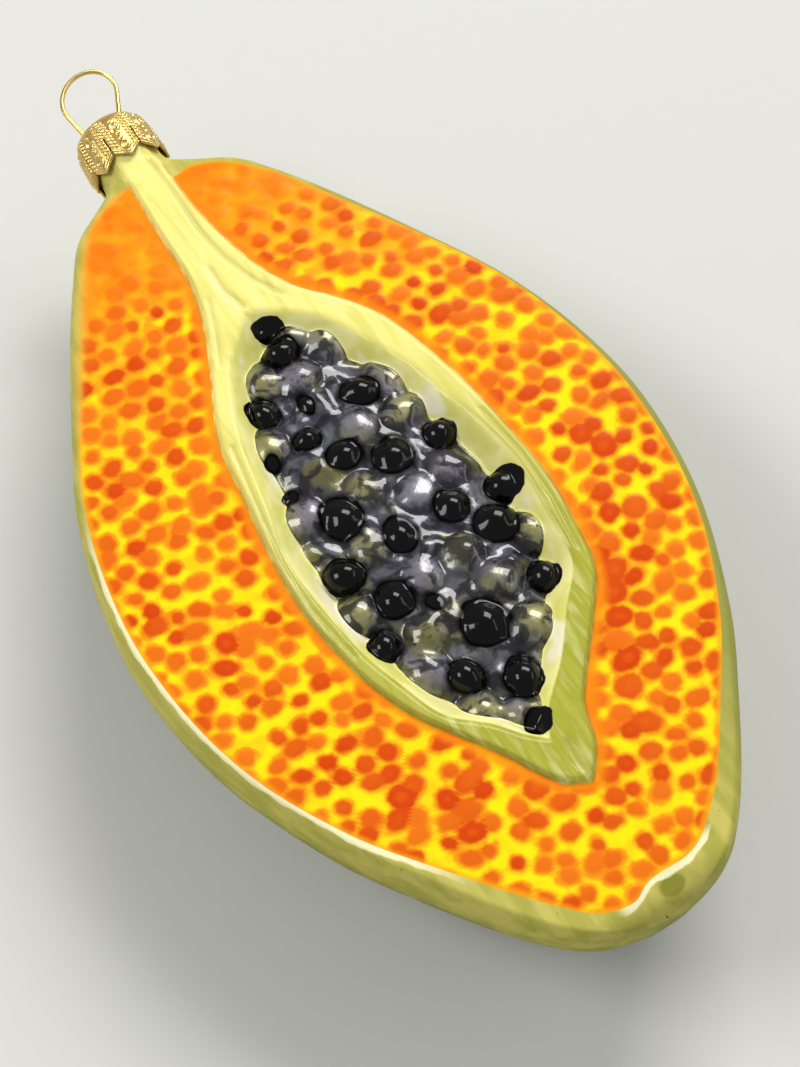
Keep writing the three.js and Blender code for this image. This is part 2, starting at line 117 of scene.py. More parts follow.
FACE_HEIGHT = 27 * MM
FACE_END = {"y": -53.8 * MM, "length": 3.5 * MM}  # where the face starts to round off at the blossom end
FLAT_BESIDE_RIM = 0.2 * MM  # least half-width that the rounded rim leaves flat
LEAST_KEEL = 0.5 * MM  # least depth of the back, for the inside of the glass
NECK = {"start": 60 * MM, "blend": 4 * MM, "sink": 1.1 * MM, "tilt": math.radians(5), "mouth": 71.4 * MM}
BAND_BEVEL = 0.7 * MM
BAND_ENDS = (BAND_LEFT[0][0], NECK["mouth"] + 1 * MM)
HOLLOW_ENDS = (HOLLOW_LEFT[0][0], HOLLOW_LEFT[-1][0])
HOLLOW = {
    "middle": (1.2 * MM, 1.3 * MM), "depth": 3 * MM, "slope": 4.2 * MM, "lip": 0.5 * MM,
    "around": 1.5 * MM, "blend": 0.3 * MM,
}
# The bed in the hollow: a low heap with waves, which falls away where the hollow's wall comes near
HEAP = {"half": (13.6 * MM, 32.5 * MM), "rise": 2.4 * MM, "sunk": 1.2 * MM, "power": 3}
HEAP_FALL = {"depth": 3 * MM, "over": (-1.1 * MM, 0.2 * MM)}
HEAP_WAVES = {"size": 2.7 * MM, "depth": 0.6 * MM, "seed": 3.1}
# Lumps and seeds in the bed; a seed is sunk where its middle is close to the hollow's edge
LUMP = {"top": -0.3 * MM, "blend": 2.2 * MM, "uneven": 0.1, "tone_step": 0.382}
SEED = {
    "crest": 0.2 * MM, "sink": 1.1 * MM, "clear": (1.4 * MM, 5.6 * MM), "blend": 0.8 * MM, "uneven": 0.13,
}
SMALL_PEBBLE = 3.2 * MM  # pebbles narrower than this sit lower
PEBBLE_SKIRT = 4 * MM  # how far the ground outside a pebble falls over one more radius
PEBBLE_WAVES = {"size": 2.1 * MM, "within": 5 * MM}

# Paint on the cut face: how far the flesh stops inside the outline, and its two ends over X
FLESH_INSET = mm(
    (-57, 4.5), (-50, 4.2), (-40, 3.2), (-30, 2.1), (-20, 1.5), (0, 1.6), (30, 1.2), (45, 1.8), (62, 1.5),
)
FLESH_TOP = mm(
    (-14, 57), (-11, 58.8), (-9, 60.1), (-7, 61.1), (-3.4, 61.6), (0, 60.6), (3.2, 59.8), (5.5, 60.3),
    (8, 59.6), (10, 58.4), (13, 56),
)
FLESH_FOOT = mm(
    (-9, -54.9), (-5, -54.7), (-3, -54.4), (-1, -53.4), (0.5, -53.1), (5, -53.1), (7.5, -52.6), (12, -50),
)
FLESH_CORNERS = {"ends": 0.5 * MM, "sides": 3 * MM, "steepest": 1.5}
# Dots on the flesh: the area of their rows, how they stray as shares of the pitch, and how their size varies
DOTS = {
    "side": 37 * MM, "from": -54 * MM, "to": 62 * MM, "row_gap": 0.86, "stray": (0.5, 0.46),
    "least": 0.84, "spread": 0.34, "egg": 0.5, "turn": 35, "blend": 0.3 * MM, "far": -3 * MM,
    "rises": (-0.5 * MM, 0.9 * MM), "in_flesh": (0.2 * MM, 1.6 * MM), "off_band": (0.1 * MM, 1.2 * MM),
}
# Lines on the flesh along which the dots are larger and redder, how far it reaches, and by how much
STREAKS = (
    mm((19.6, -15), (17.6, -19.5), (16.2, -23)),
    mm((15, -26.5), (12.6, -31), (11, -34.5), (9, -38), (6.5, -42)),
    mm((24.5, -10.5), (25, -14), (27, -15)),
    mm((26.5, -2.5), (27.5, -6)),
    mm((-19, -30), (-16.5, -31), (-16, -34)),
    mm((-6.3, -36.5), (-4.8, -39.5), (-4.2, -41.5)),
    mm((-12, -32.5), (-12.8, -37)),
    mm((-26.5, -2.8), (-24.5, -1.4)),
)
STREAK_WIDTH = 1.7 * MM
STREAK_GAIN = 0.5
# Folds pressed into the stalk strip and the band, which are also painted with shade: places along the line,
# then its width and depth
FOLDS = (
    (mm((1.7, 64), (1.5, 56), (1.3, 50), (1.8, 45), (3.2, 40), (5.2, 36)), 0.4 * MM, 0.2 * MM),
    (mm((-0.6, 44), (-0.8, 40), (0.2, 37)), 0.5 * MM, 0.18 * MM),
    (mm((-3.2, 40), (-4.6, 36), (-6.8, 31)), 0.4 * MM, 0.14 * MM),
    (mm((-11.6, 20), (-13.1, 12), (-14.6, 3), (-14.9, -4), (-13.9, -12)), 0.35 * MM, 0.2 * MM),
    (mm((17.3, 8), (18.1, 0), (17.8, -7), (16.6, -14)), 0.4 * MM, 0.22 * MM),
    (mm((1.2, -34.4), (0.6, -37), (0.9, -39)), 0.5 * MM, 0.2 * MM),
)
# a fold this deep gets the full painted shade
DEEP_FOLD = 0.3 * MM  # a fold of this depth is painted at its darkest
DIMPLE = {"x": 1.6 * MM, "y": -54.9 * MM, "half": (1.8 * MM, 1.2 * MM), "depth": 0.35 * MM}
# A cream line with a painted highlight edges the flesh low on the left side and round its foot; its edge is
# soft high on the left
CREAM_AND_HIGHLIGHT_SIDE = {"left": (5 * MM, 9 * MM), "above": (-44 * MM, -36 * MM), "below": (-24 * MM, -12 * MM)}
CREAM_AND_HIGHLIGHT_FOOT = {"below": (51 * MM, 52.5 * MM), "right": (-6 * MM, -4 * MM)}
SOFT_SIDE = {"left": (2 * MM, 6 * MM), "above": (18 * MM, 40 * MM), "edge": (0.15, 2.2)}
RIM_PAINT = 0.7  # share of the rim's drop that is added to the distance past the flesh
NO_MARK = -9.0  # a distance mark far from its area

# The glass's lattice: rows along Y as (from, to, rows), and columns of the top's areas and of the back
ROWS = (
    (-57.2, -56.6, 8), (-56.6, -54, 13), (-54, -34.4, 42), (-34.4, 37, 214), (37, 62, 50), (62, 71.4, 18),
)
COLUMNS = {"rim": 9, "flesh": 38, "band": 12, "hollow": 106, "belly": 42}
# Least and most shares of the row's width that the columns of the face, the band and the hollow take
COLUMN_SHARES = {"face": 0.65, "band": (0.2, 0.95), "hollow": 0.6}
OUTLINE_STEPS = 80
END_RINGS = (0.7, 0.4, 0.12)  # sizes of the rings that close the blossom end
INSIDE = {"from": -55.5 * MM, "rows": 44, "sides": 48, "sinks": (-2.2 * MM, 1.5 * MM), "deepest": 3 * MM}

# Crown cap, along its own axis from the petal tips up: (radius, height) of the outside
CAP_AT = 65.8 * MM
CAP_OUTSIDE = mm(
    (5.45, 0), (5.5, 1.6), (5.45, 3.2), (5.27, 5), (4.95, 6.6), (4.3, 7.6), (3, 8.28), (1.4, 8.56),
    (0.3, 8.6),
)
PETALS = 8
PETAL_COLUMNS = 44
CAP_ROWS = 124
TIP_DROP = 1.5 * MM  # how far a petal's sides end above its tip
PETAL_BULGE = 0.3 * MM
SLIT = {"width": 0.24 * MM, "top": 4.2 * MM}
SLOT = {"from": 1.9 * MM, "to": 3.35 * MM, "half_turn": math.radians(15)}
CAP_METAL = 0.28 * MM  # thickness of the tin
# Stamping of a petal: two lines of beads up each side as (in from the side, radius, shift along the line)
PETAL_HALF = 1.98 * MM
BEAD_LINES = ((0.26 * MM, 0.23 * MM, 0.0), (0.76 * MM, 0.21 * MM, 0.5))
BEAD_LINE = {"pitch": 0.56 * MM, "off_edge": 0.75 * MM, "top": 7.1 * MM}
# Two ridges along the tip's edge, then bosses and rings up the middle: (height, radius, whether a ring)
RIDGES = {"in": (0.22 * MM, 0.62 * MM), "half": 0.16 * MM, "top": 3 * MM, "rise": 0.8}
BOSSES = (
    (1.8 * MM, 0.55 * MM, True), (3.05 * MM, 0.3 * MM, False), (3.85 * MM, 0.3 * MM, False),
    (4.95 * MM, 0.6 * MM, True), (6.2 * MM, 0.28 * MM, False),
)
BOSS_RING = {"half": 0.24 * MM, "rise": 1.2}
ROSETTE = {"beads": 6, "at": 4.75 * MM, "half": (0.468 * MM, 0.86 * MM), "radius": 0.18 * MM, "rise": 0.8}

# Wire hanger in the cap's frame
RING = {"radius": 4 * MM, "middle": 13.55 * MM, "foot": 8.6 * MM, "lean": 0.17, "step": 20}
LEG = mm((-5.4, -8.5), (-4, -5.6), (-2.75, -1.5), (-2.55, 3), (-2.6, 8.2), (-3.3, 10.8))
WIRE_STEPS = 240
WIRE_SIDES = 16
WIRE_TIP = 0.55  # size of the wire's cut ends, as a share
BEND_STEPS = 24

# Where the camera looks, in the part's frame, and its sensor and near limit
VIEW_CENTRE = (-0.4 * MM, -3.8 * MM, 26.8 * MM)
SENSOR_HEIGHT = 36
NEAR_LIMIT = 0.01
FLOOR_SIZE = 3
# Soft lights: name, azimuth and elevation in degrees, distance, size, power in watts and colour
LIGHTS = (
    ("key_softbox", 130, 45, 1.4, (0.74, 0.53), 17.6, (1, 0.99, 0.96)),
    ("right_strip", 70, 40, 0.75, (0.5, 0.12), 0.5, (1, 1, 0.98)),
    ("left_softbox", -118, 48, 0.8, (0.34, 0.26), 3.2, (1, 1, 0.98)),
)
ROOM = {"colour": (0.96, 0.97, 1.0, 1), "strength": 0.42}

# Paints and metal colours, among them the colours of painted highlight and painted shade, as six hexadecimal
# digits
PAINTS = {
    "deep amber": "FDA018", "halo": "FC9417", "core": "F07A18", "heart": "F26C18", "lobe": "F87F14",
    # the pale line at the flesh's rim is cream paint with a painted highlight
    "lobe patch": "FBA31A", "flesh edge": "FBA81E", "beside band": "F88C16", "pale line and highlight": "FBF6C4",
    # the two greens are the rind's lower flank, darkened as painted shade
    "khaki": "B2AE50", "light khaki": "CDC366", "green": "5A681A", "light green": "75802A",
    "right flank": "94964A", "speck": "5F6E1E", "dimple": "8C8C34",
    # the fold colour is painted shade for the band's folds
    "unripe band": "A9AB36", "dark brush": "D2CA66", "pale brush": "F6F2AC", "fold_shade": "A9A045",
    # the wall's pale colours are lightened as painted light, and its whitish patches are painted highlights
    "brown line": "A8741C", "wall": "FBF4A4", "green wall": "E8E47C", "wall highlight": "FFF9D2",
    "silver": "66666E", "pale lump": "8F8A94", "olive lump": "A39C68", "olive bed": "6F6C3C",
    # foot and shade are painted shade round the lumps and the seeds
    "near wall": "98935A", "smoke": "19181C", "foot": "19181B", "shade": "121214",
    "tin": "D9B464", "light tin": "E4C578", "dull wire": "DDB866",
}
# For each paint: the sizes of its patterns, the range over which each mask rises, and how far it counts.
# Ranges of marks are in millimetres; those of a place on the fruit are lengths.
FLESH_SIZES = {
    "wobble": 1.5 * MM, "cloud": 6.5 * MM, "deep": 2.4 * MM, "net": 5 * MM, "halo": 3 * MM, "tone": 9 * MM,
    "lobe": 4.5 * MM,
}
FLESH_RANGES = {
    "riper": (-30 * MM, 30 * MM), "amber": (0.44, 0.62), "deep": (0.47, 0.7), "low end": (42 * MM, 14 * MM),
    "net": (-0.22, -0.55), "halo": (-0.6, 0.0), "red": (0.1, 1.15), "core": (-0.3, 0.34),
    "heart": (0.75, 1.3), "lobe": (44 * MM, 56 * MM), "lobe patch": (0.4, 0.7), "edge": (1.5, 0.6),
    "beside": (-2.6, -1.1),
}
FLESH_SHARES = {
    "riper": 0.08, "wobble": 0.8, "tone": 1.0, "net": (0.25, 1.1), "halo": (0.3, 1.0), "heart": 0.35,
    "lobe drift": 12 * MM, "lobe": 0.85, "edge drift": 1.2, "edge": 0.75, "beside drift": -1.6,
    "beside": 0.85,
}
# the rind is greener low on the flank and darkened there as painted shade
RIND_SIZES = {"streak": 2.2 * MM, "low": 9 * MM, "speck": 0.55 * MM}
RIND_RANGES = {
    "khaki": (0.35, 0.65), "green": (0.4, 0.62), "low": (24.5 * MM, 16 * MM), "right": (10 * MM, 26 * MM),
    "speck": (0.7, 0.78),
}
RIND_SHARES = {"low": (0.65, 1.1), "right": 0.8, "speck": 0.55}
BAND_SIZES = {"drift": 8 * MM, "brush": 1.3 * MM, "line": 3 * MM}
BAND_RANGES = {
    "unripe": (32 * MM, -16 * MM), "dark brush": (0.45, 0.68), "pale brush": (0.5, 0.3),
    "line": (0.34, 0.08), "broken": (0.35, 0.6),
}
BAND_SHARES = {"drift": 10 * MM, "dark brush": 0.45, "pale brush": 0.4, "fold_shade": 0.6, "line": 0.65}
# the dark rings round the feet of the lumps and the seeds are painted shade
BED_SIZES = {"cloud": 5 * MM, "swirl": 2.4 * MM, "olive": 6.5 * MM, "smoke": 2.8 * MM}
BED_RANGES = {
    "cloud": (0.42, 0.6), "kind": (0.35, 0.55), "middle": (0.15, 0.7), "olive": (0.52, 0.66),
    "near wall": (4.6, 2.2), "smoke": (0.46, 0.6), "foot shade inside": (0.3, 0.1), "foot shade outside": (-0.2, 0.02),
    "shade": (-0.9, -0.05),
}
BED_SHARES = {
    "swirl": 1.6, "middle": 0.75, "olive": 0.7, "near wall": 0.5, "smoke": 0.85, "foot shade drift": 0.3,
    "foot": 0.5, "shade": 0.7,
}
BED_TWISTS = {"cloud": 0.8, "swirl": 1.2, "olive": 0.5, "smoke": 1.0}
# the wall's whitish patches are painted highlights
WALL_SIZES = {"cloud": 5 * MM, "highlight_patch": 4 * MM}
WALL_RANGES = {"cloud": (0.4, 0.6), "highlight_patch": (0.56, 0.68)}
# Factors on the coordinates of brushed patterns and of the wall's painted highlights: under 1 in Y draws a
# pattern out along the fruit
ALONG = {"rind": (1, 0.16, 1), "band": (1, 0.12, 1), "wall": (1, 0.4, 1)}
BRUSH_TWIST = 0.4  # how much the band's brush marks curl
# The same for the edges of the painted areas and for their gloss
AREA_SIZES = {
    "band": 1.4 * MM, "seed": 1.7 * MM, "cream_and_highlight": 2.5 * MM, "uneven": 2.5 * MM, "ripple": 1.6 * MM,
    "fine ripple": 0.5 * MM,
}
AREA_RANGES = {
    "flesh": (-0.5, 0.6), "band": (0.02, 0.2), "wall": (0.15, 0.5), "bed": (0.0, 0.14), "seed": (0.08, 0.2),
    "cream_and_highlight": (-1.4, -1.1), "dimple": (-0.1, 0.25), "crease outside": (-0.7, -0.25),
    "crease inside": (0.35, 0.05),
}
AREA_SHARES = {
    "band": 0.2, "seed": 0.6, "dimple": 0.8, "uneven": (-0.05, 0.06), "crease coat": 0.05,
    "fine ripple": 0.25, "bed ripple": 2.6,
}
AREA_METALLIC = {"rind": 0.0, "flesh": 0.0, "band": 0.0, "wall": 0.0, "bed": 0.35, "seed": 0.0}
AREA_ROUGHNESS = {"rind": 0.5, "flesh": 0.46, "band": 0.36, "wall": 0.26, "bed": 0.32, "seed": 0.2}
AREA_COAT = {"rind": 0.03, "flesh": 0.03, "band": 0.3, "wall": 0.5, "bed": 0.9, "seed": 0.5}
GLASS = {"coat_roughness": 0.07, "specular": 0.03, "ripple": 0.35, "ripple_depth": 0.12 * MM}
PATINA_LAYERS = {"Cloud": (1.0, 2.0), "Scuff": (7.0, 3.0)}  # size factor and detail of each layer
PATINA_RANGE = (0.35, 0.68)
PATINA_SIZE = 1.5
# the tin's raised beads are painted a brighter gold as painted highlight
TIN = {
    "patina": 2.2 * MM, "raised": (0.1, 0.75), "roughness": (0.34, 0.42), "bead_roughness": 0.24,
    "scuff": 0.2, "scuff_depth": 0.02 * MM,
}
WIRE = {"patina": 3.5 * MM, "roughness": (0.24, 0.29), "cloud": 0.1, "cloud_depth": 0.01 * MM}
CARD = {"grain": 3 * MM, "shade": 0.985, "roughness": 0.75, "bump": 0.03, "depth": 0.05 * MM}


def srgb(code):
    """A linear colour from six hexadecimal digits."""
    parts = [int(code[i : i + 2], 16) / 255 for i in (0, 2, 4)]
    linear = [p / 12.92 if p <= 0.04045 else ((p + 0.055) / 1.055) ** 2.4 for p in parts]
    return (*linear, 1.0)


def smooth(value, low, high):
    """0 below low, 1 above high and an S-curve between them."""
    t = np.clip((value - low) / (high - low), 0, 1)
    return t * t * (3 - 2 * t)


def through(knots):
    """A smooth line through (place, value) knots, level past its two ends."""
    places, values = np.asarray(knots).T
    slopes = np.empty_like(values)
    slopes[1:-1] = (values[2:] - values[:-2]) / (places[2:] - places[:-2])
    slopes[0] = (values[1] - values[0]) / (places[1] - places[0])
    slopes[-1] = (values[-1] - values[-2]) / (places[-1] - places[-2])

    def line(place):
        p = np.clip(place, places[0], places[-1])
        i = np.clip(np.searchsorted(places, p, side="right") - 1, 0, len(places) - 2)
        span = places[i + 1] - places[i]
        t = (p - places[i]) / span
        start = (2 * t**3 - 3 * t**2 + 1) * values[i] + (t**3 - 2 * t**2 + t) * span * slopes[i]
        end = (3 * t**2 - 2 * t**3) * values[i + 1] + (t**3 - t**2) * span * slopes[i + 1]
        return start + end

    return line


half_width_line = through(HALF_WIDTH)
rim_width_line = through(RIM_WIDTH)
keel_depth = through(KEEL_DEPTH)
rim_drop = through(RIM_DROP)
band_left = through(BAND_LEFT)
band_right = through(BAND_RIGHT)
band_rise = through(BAND_RISE)
hollow_left = through(HOLLOW_LEFT)
hollow_right = through(HOLLOW_RIGHT)
flesh_inset = through(FLESH_INSET)
flesh_top = through(FLESH_TOP)
flesh_foot = through(FLESH_FOOT)


def half_width(y):
    """Half-width of the fruit."""
    return np.minimum(half_width_line(y), WIDEST)


def rim_width(y):
    """Width of the rounded rim, never quite the whole half-width."""
    return np.minimum(rim_width_line(y), half_width(y) - FLAT_BESIDE_RIM)


def round_off(past):
    """How far a quarter round has dropped, as a share, past its start."""
    return 1 - np.sqrt(1 - np.clip(past, 0, 1) ** 2)


def face_top(y):
    """Height along the cut face's middle: level, rounded at the blossom end, sunk and tilted at the neck."""
    end = rim_drop(y) * round_off((FACE_END["y"] - y) / FACE_END["length"])
    sink = NECK["sink"] * smooth(y, NECK["start"] - NECK["blend"], NECK["start"] + NECK["blend"])
    return math.tan(NECK["tilt"]) * np.maximum(0, y - NECK["start"]) - end - sink


def bare_top(x, y):
    """Height of the bare glass on the face and its rounded rim."""
    rim = rim_width(y)
    return face_top(y) - rim_drop(y) * round_off((np.abs(x) - (half_width(y) - rim)) / rim)


def line_distance(x, y, points, closed=False):
    """Distance from every place to a line of points."""
    ends = np.roll(points, -1, axis=0) if closed else points[1:]
    nearest = np.full(x.shape, np.inf)
    for (ax, ay), (bx, by) in zip(points, ends):
        dx, dy = bx - ax, by - ay
        t = np.clip(((x - ax) * dx + (y - ay) * dy) / (dx * dx + dy * dy), 0, 1)
        nearest = np.minimum(nearest, np.hypot(x - ax - t * dx, y - ay - t * dy))
    return nearest


def streak_distance(x, y):
    """Distance from one place to the nearest streak line."""
    place = np.array([[x]]), np.array([[y]])
    return min(float(line_distance(*place, points)[0, 0]) for points in STREAKS)


def edge_distance(x, y, left, right, low, high):
    """Distance to the edge of the area between two sides, positive inside it."""
    ys = np.linspace(low, high, OUTLINE_STEPS)
    outline = np.concatenate([np.stack([right(ys), ys], 1), np.stack([left(ys), ys], 1)[::-1]])
    inside = (x > left(y)) & (x < right(y)) & (y > low) & (y < high)
    return line_distance(x, y, outline, closed=True) * np.where(inside, 1, -1)


def soft_greater(first, second, blend):
    """The greater of two heights, with a rounded join."""
    share = np.clip(0.5 + 0.5 * (first - second) / blend, 0, 1)
    return second * (1 - share) + first * share + blend * share * (1 - share)


def pebble_reach(x, y, row):
    """How far each place is from the middle of an egg-shaped pebble, 1 at its edge."""
    px, py, width, length, turn = row
    a = math.radians(turn)
    dx, dy = x - px * MM, y - py * MM
    along = dx * math.cos(a) + dy * math.sin(a)
    across = dy * math.cos(a) - dx * math.sin(a)
    return np.hypot(along / (width * MM / 2), across / (length * MM / 2))


def pebble_radius(row):
    """Mean radius of a pebble."""
    return (row[2] + row[3]) * MM / 4


def pebble_height(reach, row, highest):
    """Height of a pebble over its whole footprint; far below the bed outside it."""
    radius = pebble_radius(row)
    top = highest - max(0, SMALL_PEBBLE - 2 * radius)
    tall = max(radius, (top + HOLLOW["depth"]) / 2)
    return np.where(reach < 1, top - tall * round_off(reach), top - tall - PEBBLE_SKIRT * (reach - 1))


def waves(x, y, size, depth, seed):
    """Smooth seeded unevenness at each place."""
    out = np.empty(x.size)
    for i, (px, py) in enumerate(zip(x.ravel(), y.ravel())):
        out[i] = noise.noise(Vector((px / size, py / size, seed)))
    return depth * out.reshape(x.shape)


def strayed_dots(settings):
    """Each dot as its place, radius, stretch, turn and redness, in strayed rows over the whole face."""
    random = np.random.default_rng(settings.seed)
    pitch = settings.dot_pitch
    for row, row_y in enumerate(np.arange(DOTS["from"], DOTS["to"], pitch * DOTS["row_gap"])):
        shift = (row % 2) * pitch / 2
        for column_x in np.arange(-DOTS["side"] + shift, DOTS["side"], pitch):
            stray_x, stray_y, size, egg, turn, red = random.random(6)
            x = column_x + (stray_x - 0.5) * DOTS["stray"][0] * pitch
            y = row_y + (stray_y - 0.5) * DOTS["stray"][1] * pitch
            streak = STREAK_GAIN * math.exp(-((streak_distance(x, y) / STREAK_WIDTH) ** 2))
            radius = settings.dot_size / 2 * (DOTS["least"] + DOTS["spread"] * size + streak)
            angle = math.radians(DOTS["turn"] * (2 * turn - 1))
            yield x, y, radius, 1 + DOTS["egg"] * egg * egg, angle, red + streak


class GlassMarks:
    """Heights and paint distances for places on the top of the glass."""

    def __init__(self, x, y, settings):
        self.x, self.y = x, y
        self.settings = settings
        self.band = edge_distance(x, y, band_left, band_right, *BAND_ENDS)
        self.hollow = edge_distance(x, y, hollow_left, hollow_right, *HOLLOW_ENDS)
        self.flesh = self.flesh_distance()
        self.fold_shade = np.zeros_like(x)
        self.height = bare_top(x, y) + self.band_height()
        self.seed = np.full_like(x, -1.0)
        self.lump = np.full_like(x, -1.0)
        self.lump_tone = np.zeros_like(x)
        self.press_hollow()
        self.dot = np.full_like(x, -1.0)
        self.dot_tone = np.zeros_like(x)
        self.lay_dots()

    def flesh_distance(self):
        """Distance inside the painted flesh, from its sides and its two ends."""
        x, y = self.x, self.y
        steepest = FLESH_CORNERS["steepest"]
        lean = np.gradient(half_width(y[:, 0]), y[:, 0])[:, None]
        slant = np.sqrt(1 + np.clip(lean, -steepest, steepest) ** 2)
        side = (half_width(y) - flesh_inset(y) - np.abs(x)) / slant
        ends = -soft_greater(y - flesh_top(x), flesh_foot(x) - y, FLESH_CORNERS["ends"])
        return -soft_greater(-side, -ends, FLESH_CORNERS["sides"])

    def band_height(self):
        """The raised band with its bevel and its pressed folds."""
        bevel = smooth(self.band, 0, BAND_BEVEL)
        rise = band_rise(self.y) * bevel
        for points, width, depth in FOLDS:
            near = np.exp(-((line_distance(self.x, self.y, points) / width) ** 2))
            # each fold's depth also sets the painted shade in it
            self.fold_shade = np.maximum(self.fold_shade, near * depth / DEEP_FOLD)
            rise = rise - depth * near * bevel
        return rise

    def press_hollow(self):
        """Sinks the hollow and fills it with the bed, its lumps and its seeds."""
        down = smooth(self.hollow, -HOLLOW["lip"], HOLLOW["slope"])
        floor = self.height * (1 - down) - HOLLOW["depth"] * down
        near = self.hollow > -HOLLOW["around"]
        bed = self.heap(near)
        bed = self.add_lumps(bed, near)
        bed = self.add_seeds(bed, near)
        bed = bed - HEAP_FALL["depth"] * smooth(-self.hollow, *HEAP_FALL["over"])
        self.height = np.where(near, soft_greater(bed, floor, HOLLOW["blend"]), self.height)
        self.bed_rise = np.where(near, bed - floor, -MM)

    def heap(self, near):
        """Height of the bare bed, highest in the hollow's middle."""
        x, y = self.x, self.y
        middle_x, middle_y = HOLLOW["middle"]
        half_x, half_y = HEAP["half"]
        spread = np.hypot((x - middle_x) / half_x, (y - middle_y) / half_y)
        swell = np.sqrt(np.clip(1 - spread ** HEAP["power"], 0, 1))
        bed = -HOLLOW["depth"] - HEAP["sunk"] + (HEAP["rise"] + HEAP["sunk"]) * swell
        bed[near] += waves(x[near], y[near], **HEAP_WAVES)
        return bed

    def add_lumps(self, bed, near):
        """The bed with its lumps, each with a tone of its own."""
        for number, row in enumerate(LUMPS):
            reach = pebble_reach(self.x, self.y, row) + self.unevenness(near, row, LUMP["uneven"])
            bed = soft_greater(pebble_height(reach, row, LUMP["top"]), bed, LUMP["blend"])
            tone = number * LUMP["tone_step"] % 1
            self.lump_tone = np.where(1 - reach > self.lump, tone, self.lump_tone)
            self.lump = np.maximum(self.lump, 1 - reach)
        return bed

    def add_seeds(self, bed, near):
        """The bed with its seeds, clipped to the hollow."""
        for row in SEEDS:
            reach = pebble_reach(self.x, self.y, row) + self.unevenness(near, row, SEED["uneven"])
            sunk = SEED["sink"] * (1 - smooth(self.inside_hollow(row), *SEED["clear"]))
            bed = soft_greater(pebble_height(reach, row, SEED["crest"] - sunk), bed, SEED["blend"])
            self.seed = np.maximum(self.seed, (1 - reach) * pebble_radius(row))
        self.seed = np.minimum(self.seed, self.hollow)
        return bed

    def away(self, row):
        """Distance from every place to a pebble's middle."""
        return np.hypot(self.x - row[0] * MM, self.y - row[1] * MM)

    def inside_hollow(self, row):
        """How far a pebble's middle lies inside the hollow's edge."""
        return self.hollow.ravel()[np.argmin(self.away(row))]

    def unevenness(self, near, row, depth):
        """A little waviness of a pebble's outline."""
        out = np.zeros_like(self.x)
        close = near & (self.away(row) < PEBBLE_WAVES["within"])
        out[close] = waves(self.x[close], self.y[close], PEBBLE_WAVES["size"], depth, row[0])
        return out

    def lay_dots(self):
        """Low egg-shaped dots over the flesh, run together where they touch."""
        flesh = (self.flesh > -MM) & (self.band < MM)
        x, y = self.x[flesh], self.y[flesh]
        dot = np.full(x.shape, DOTS["far"])
        tone = np.zeros(x.shape)
        for dot_x, dot_y, radius, stretch, angle, red in strayed_dots(self.settings):
            dx, dy = x - dot_x, y - dot_y
            along = (dx * math.cos(angle) + dy * math.sin(angle)) / stretch
            across = dy * math.cos(angle) - dx * math.sin(angle)
            inner = radius - np.hypot(along, across)
            tone = np.where(inner > dot, red, tone)
            dot = soft_greater(inner, dot, DOTS["blend"])
        self.dot[flesh] = dot
        self.dot_tone[flesh] = tone
        inside = smooth(self.flesh[flesh], *DOTS["in_flesh"]) * smooth(-self.band[flesh], *DOTS["off_band"])
        self.height[flesh] += self.settings.dot_rise * smooth(dot, *DOTS["rises"]) * inside


def glass_rows():
    """Places of the lattice's rows along Y, closer together where the relief is fine."""
    rows = [np.linspace(low, high, count, endpoint=False) for low, high, count in ROWS]
    return MM * np.append(np.concatenate(rows), ROWS[-1][1])


def face_columns(y):
    """Places across the top for each row, from one side to the other, closer together at rim and hollow."""
    wide = half_width(y)
    edge = np.maximum(wide - rim_width(y), COLUMN_SHARES["face"] * wide)
    least, most = COLUMN_SHARES["band"]
    left = np.maximum(np.minimum(band_left(y), -least * edge), -most * edge)
    right = np.minimum(np.maximum(band_right(y), least * edge), most * edge)
    middle, half = (left + right) / 2, (right - left) / 2
    inner_left = np.minimum(hollow_left(y), middle - COLUMN_SHARES["hollow"] * half)
    inner_right = np.maximum(hollow_right(y), middle + COLUMN_SHARES["hollow"] * half)
    stops = [-edge, left, inner_left, inner_right, right, edge]
    counts = [COLUMNS[name] for name in ("flesh", "band", "hollow", "band", "flesh")]
    turn = np.linspace(0, math.pi / 2, COLUMNS["rim"] + 1)[None, :]
    rim = edge[:, None] + (wide - edge)[:, None] * np.sin(turn)
    parts = [-rim[:, ::-1]]
    for start, end, count in zip(stops, stops[1:], counts):
        share = np.linspace(0, 1, count + 1)[None, 1:]
        parts.append(start[:, None] + (end - start)[:, None] * share)
    parts.append(rim[:, 1:])
    return np.concatenate(parts, axis=1)


def round_back(y, sides, inset=0.0):
    """The round back of each row, from its left edge under to its right edge."""
    wide = half_width(y) - inset
    widest = face_top(y) - rim_drop(y)
    keel = np.maximum(keel_depth(y) + widest - inset, LEAST_KEEL)
    turn = np.linspace(0, math.pi, sides + 1)[None, 1:-1]
    x = wide[:, None] * np.cos(turn)
    z = np.maximum(widest[:, None] - keel[:, None] * np.sin(turn), inset - FACE_HEIGHT)
    return closed_rows(x, y, z)


def closed_rows(x, y, z):
    """Rows of places from their X and Z and each row's Y, in the order that makes faces look outwards."""
    return np.stack([x, np.repeat(y[:, None], x.shape[1], axis=1), z], 2)[:, ::-1]


def glass_places(settings):
    """The outside of the glass as rows of places, with the marks of its top."""
    y = glass_rows()
    top_x = face_columns(y)
    marks = GlassMarks(top_x, np.repeat(y[:, None], top_x.shape[1], axis=1), settings)
    dimple = DIMPLE["depth"] * np.exp(-(dimple_reach(marks.x, marks.y) ** 2))
    marks.height = marks.height - dimple
    return closed_rows(top_x, y, marks.height), round_back(y, COLUMNS["belly"]), marks


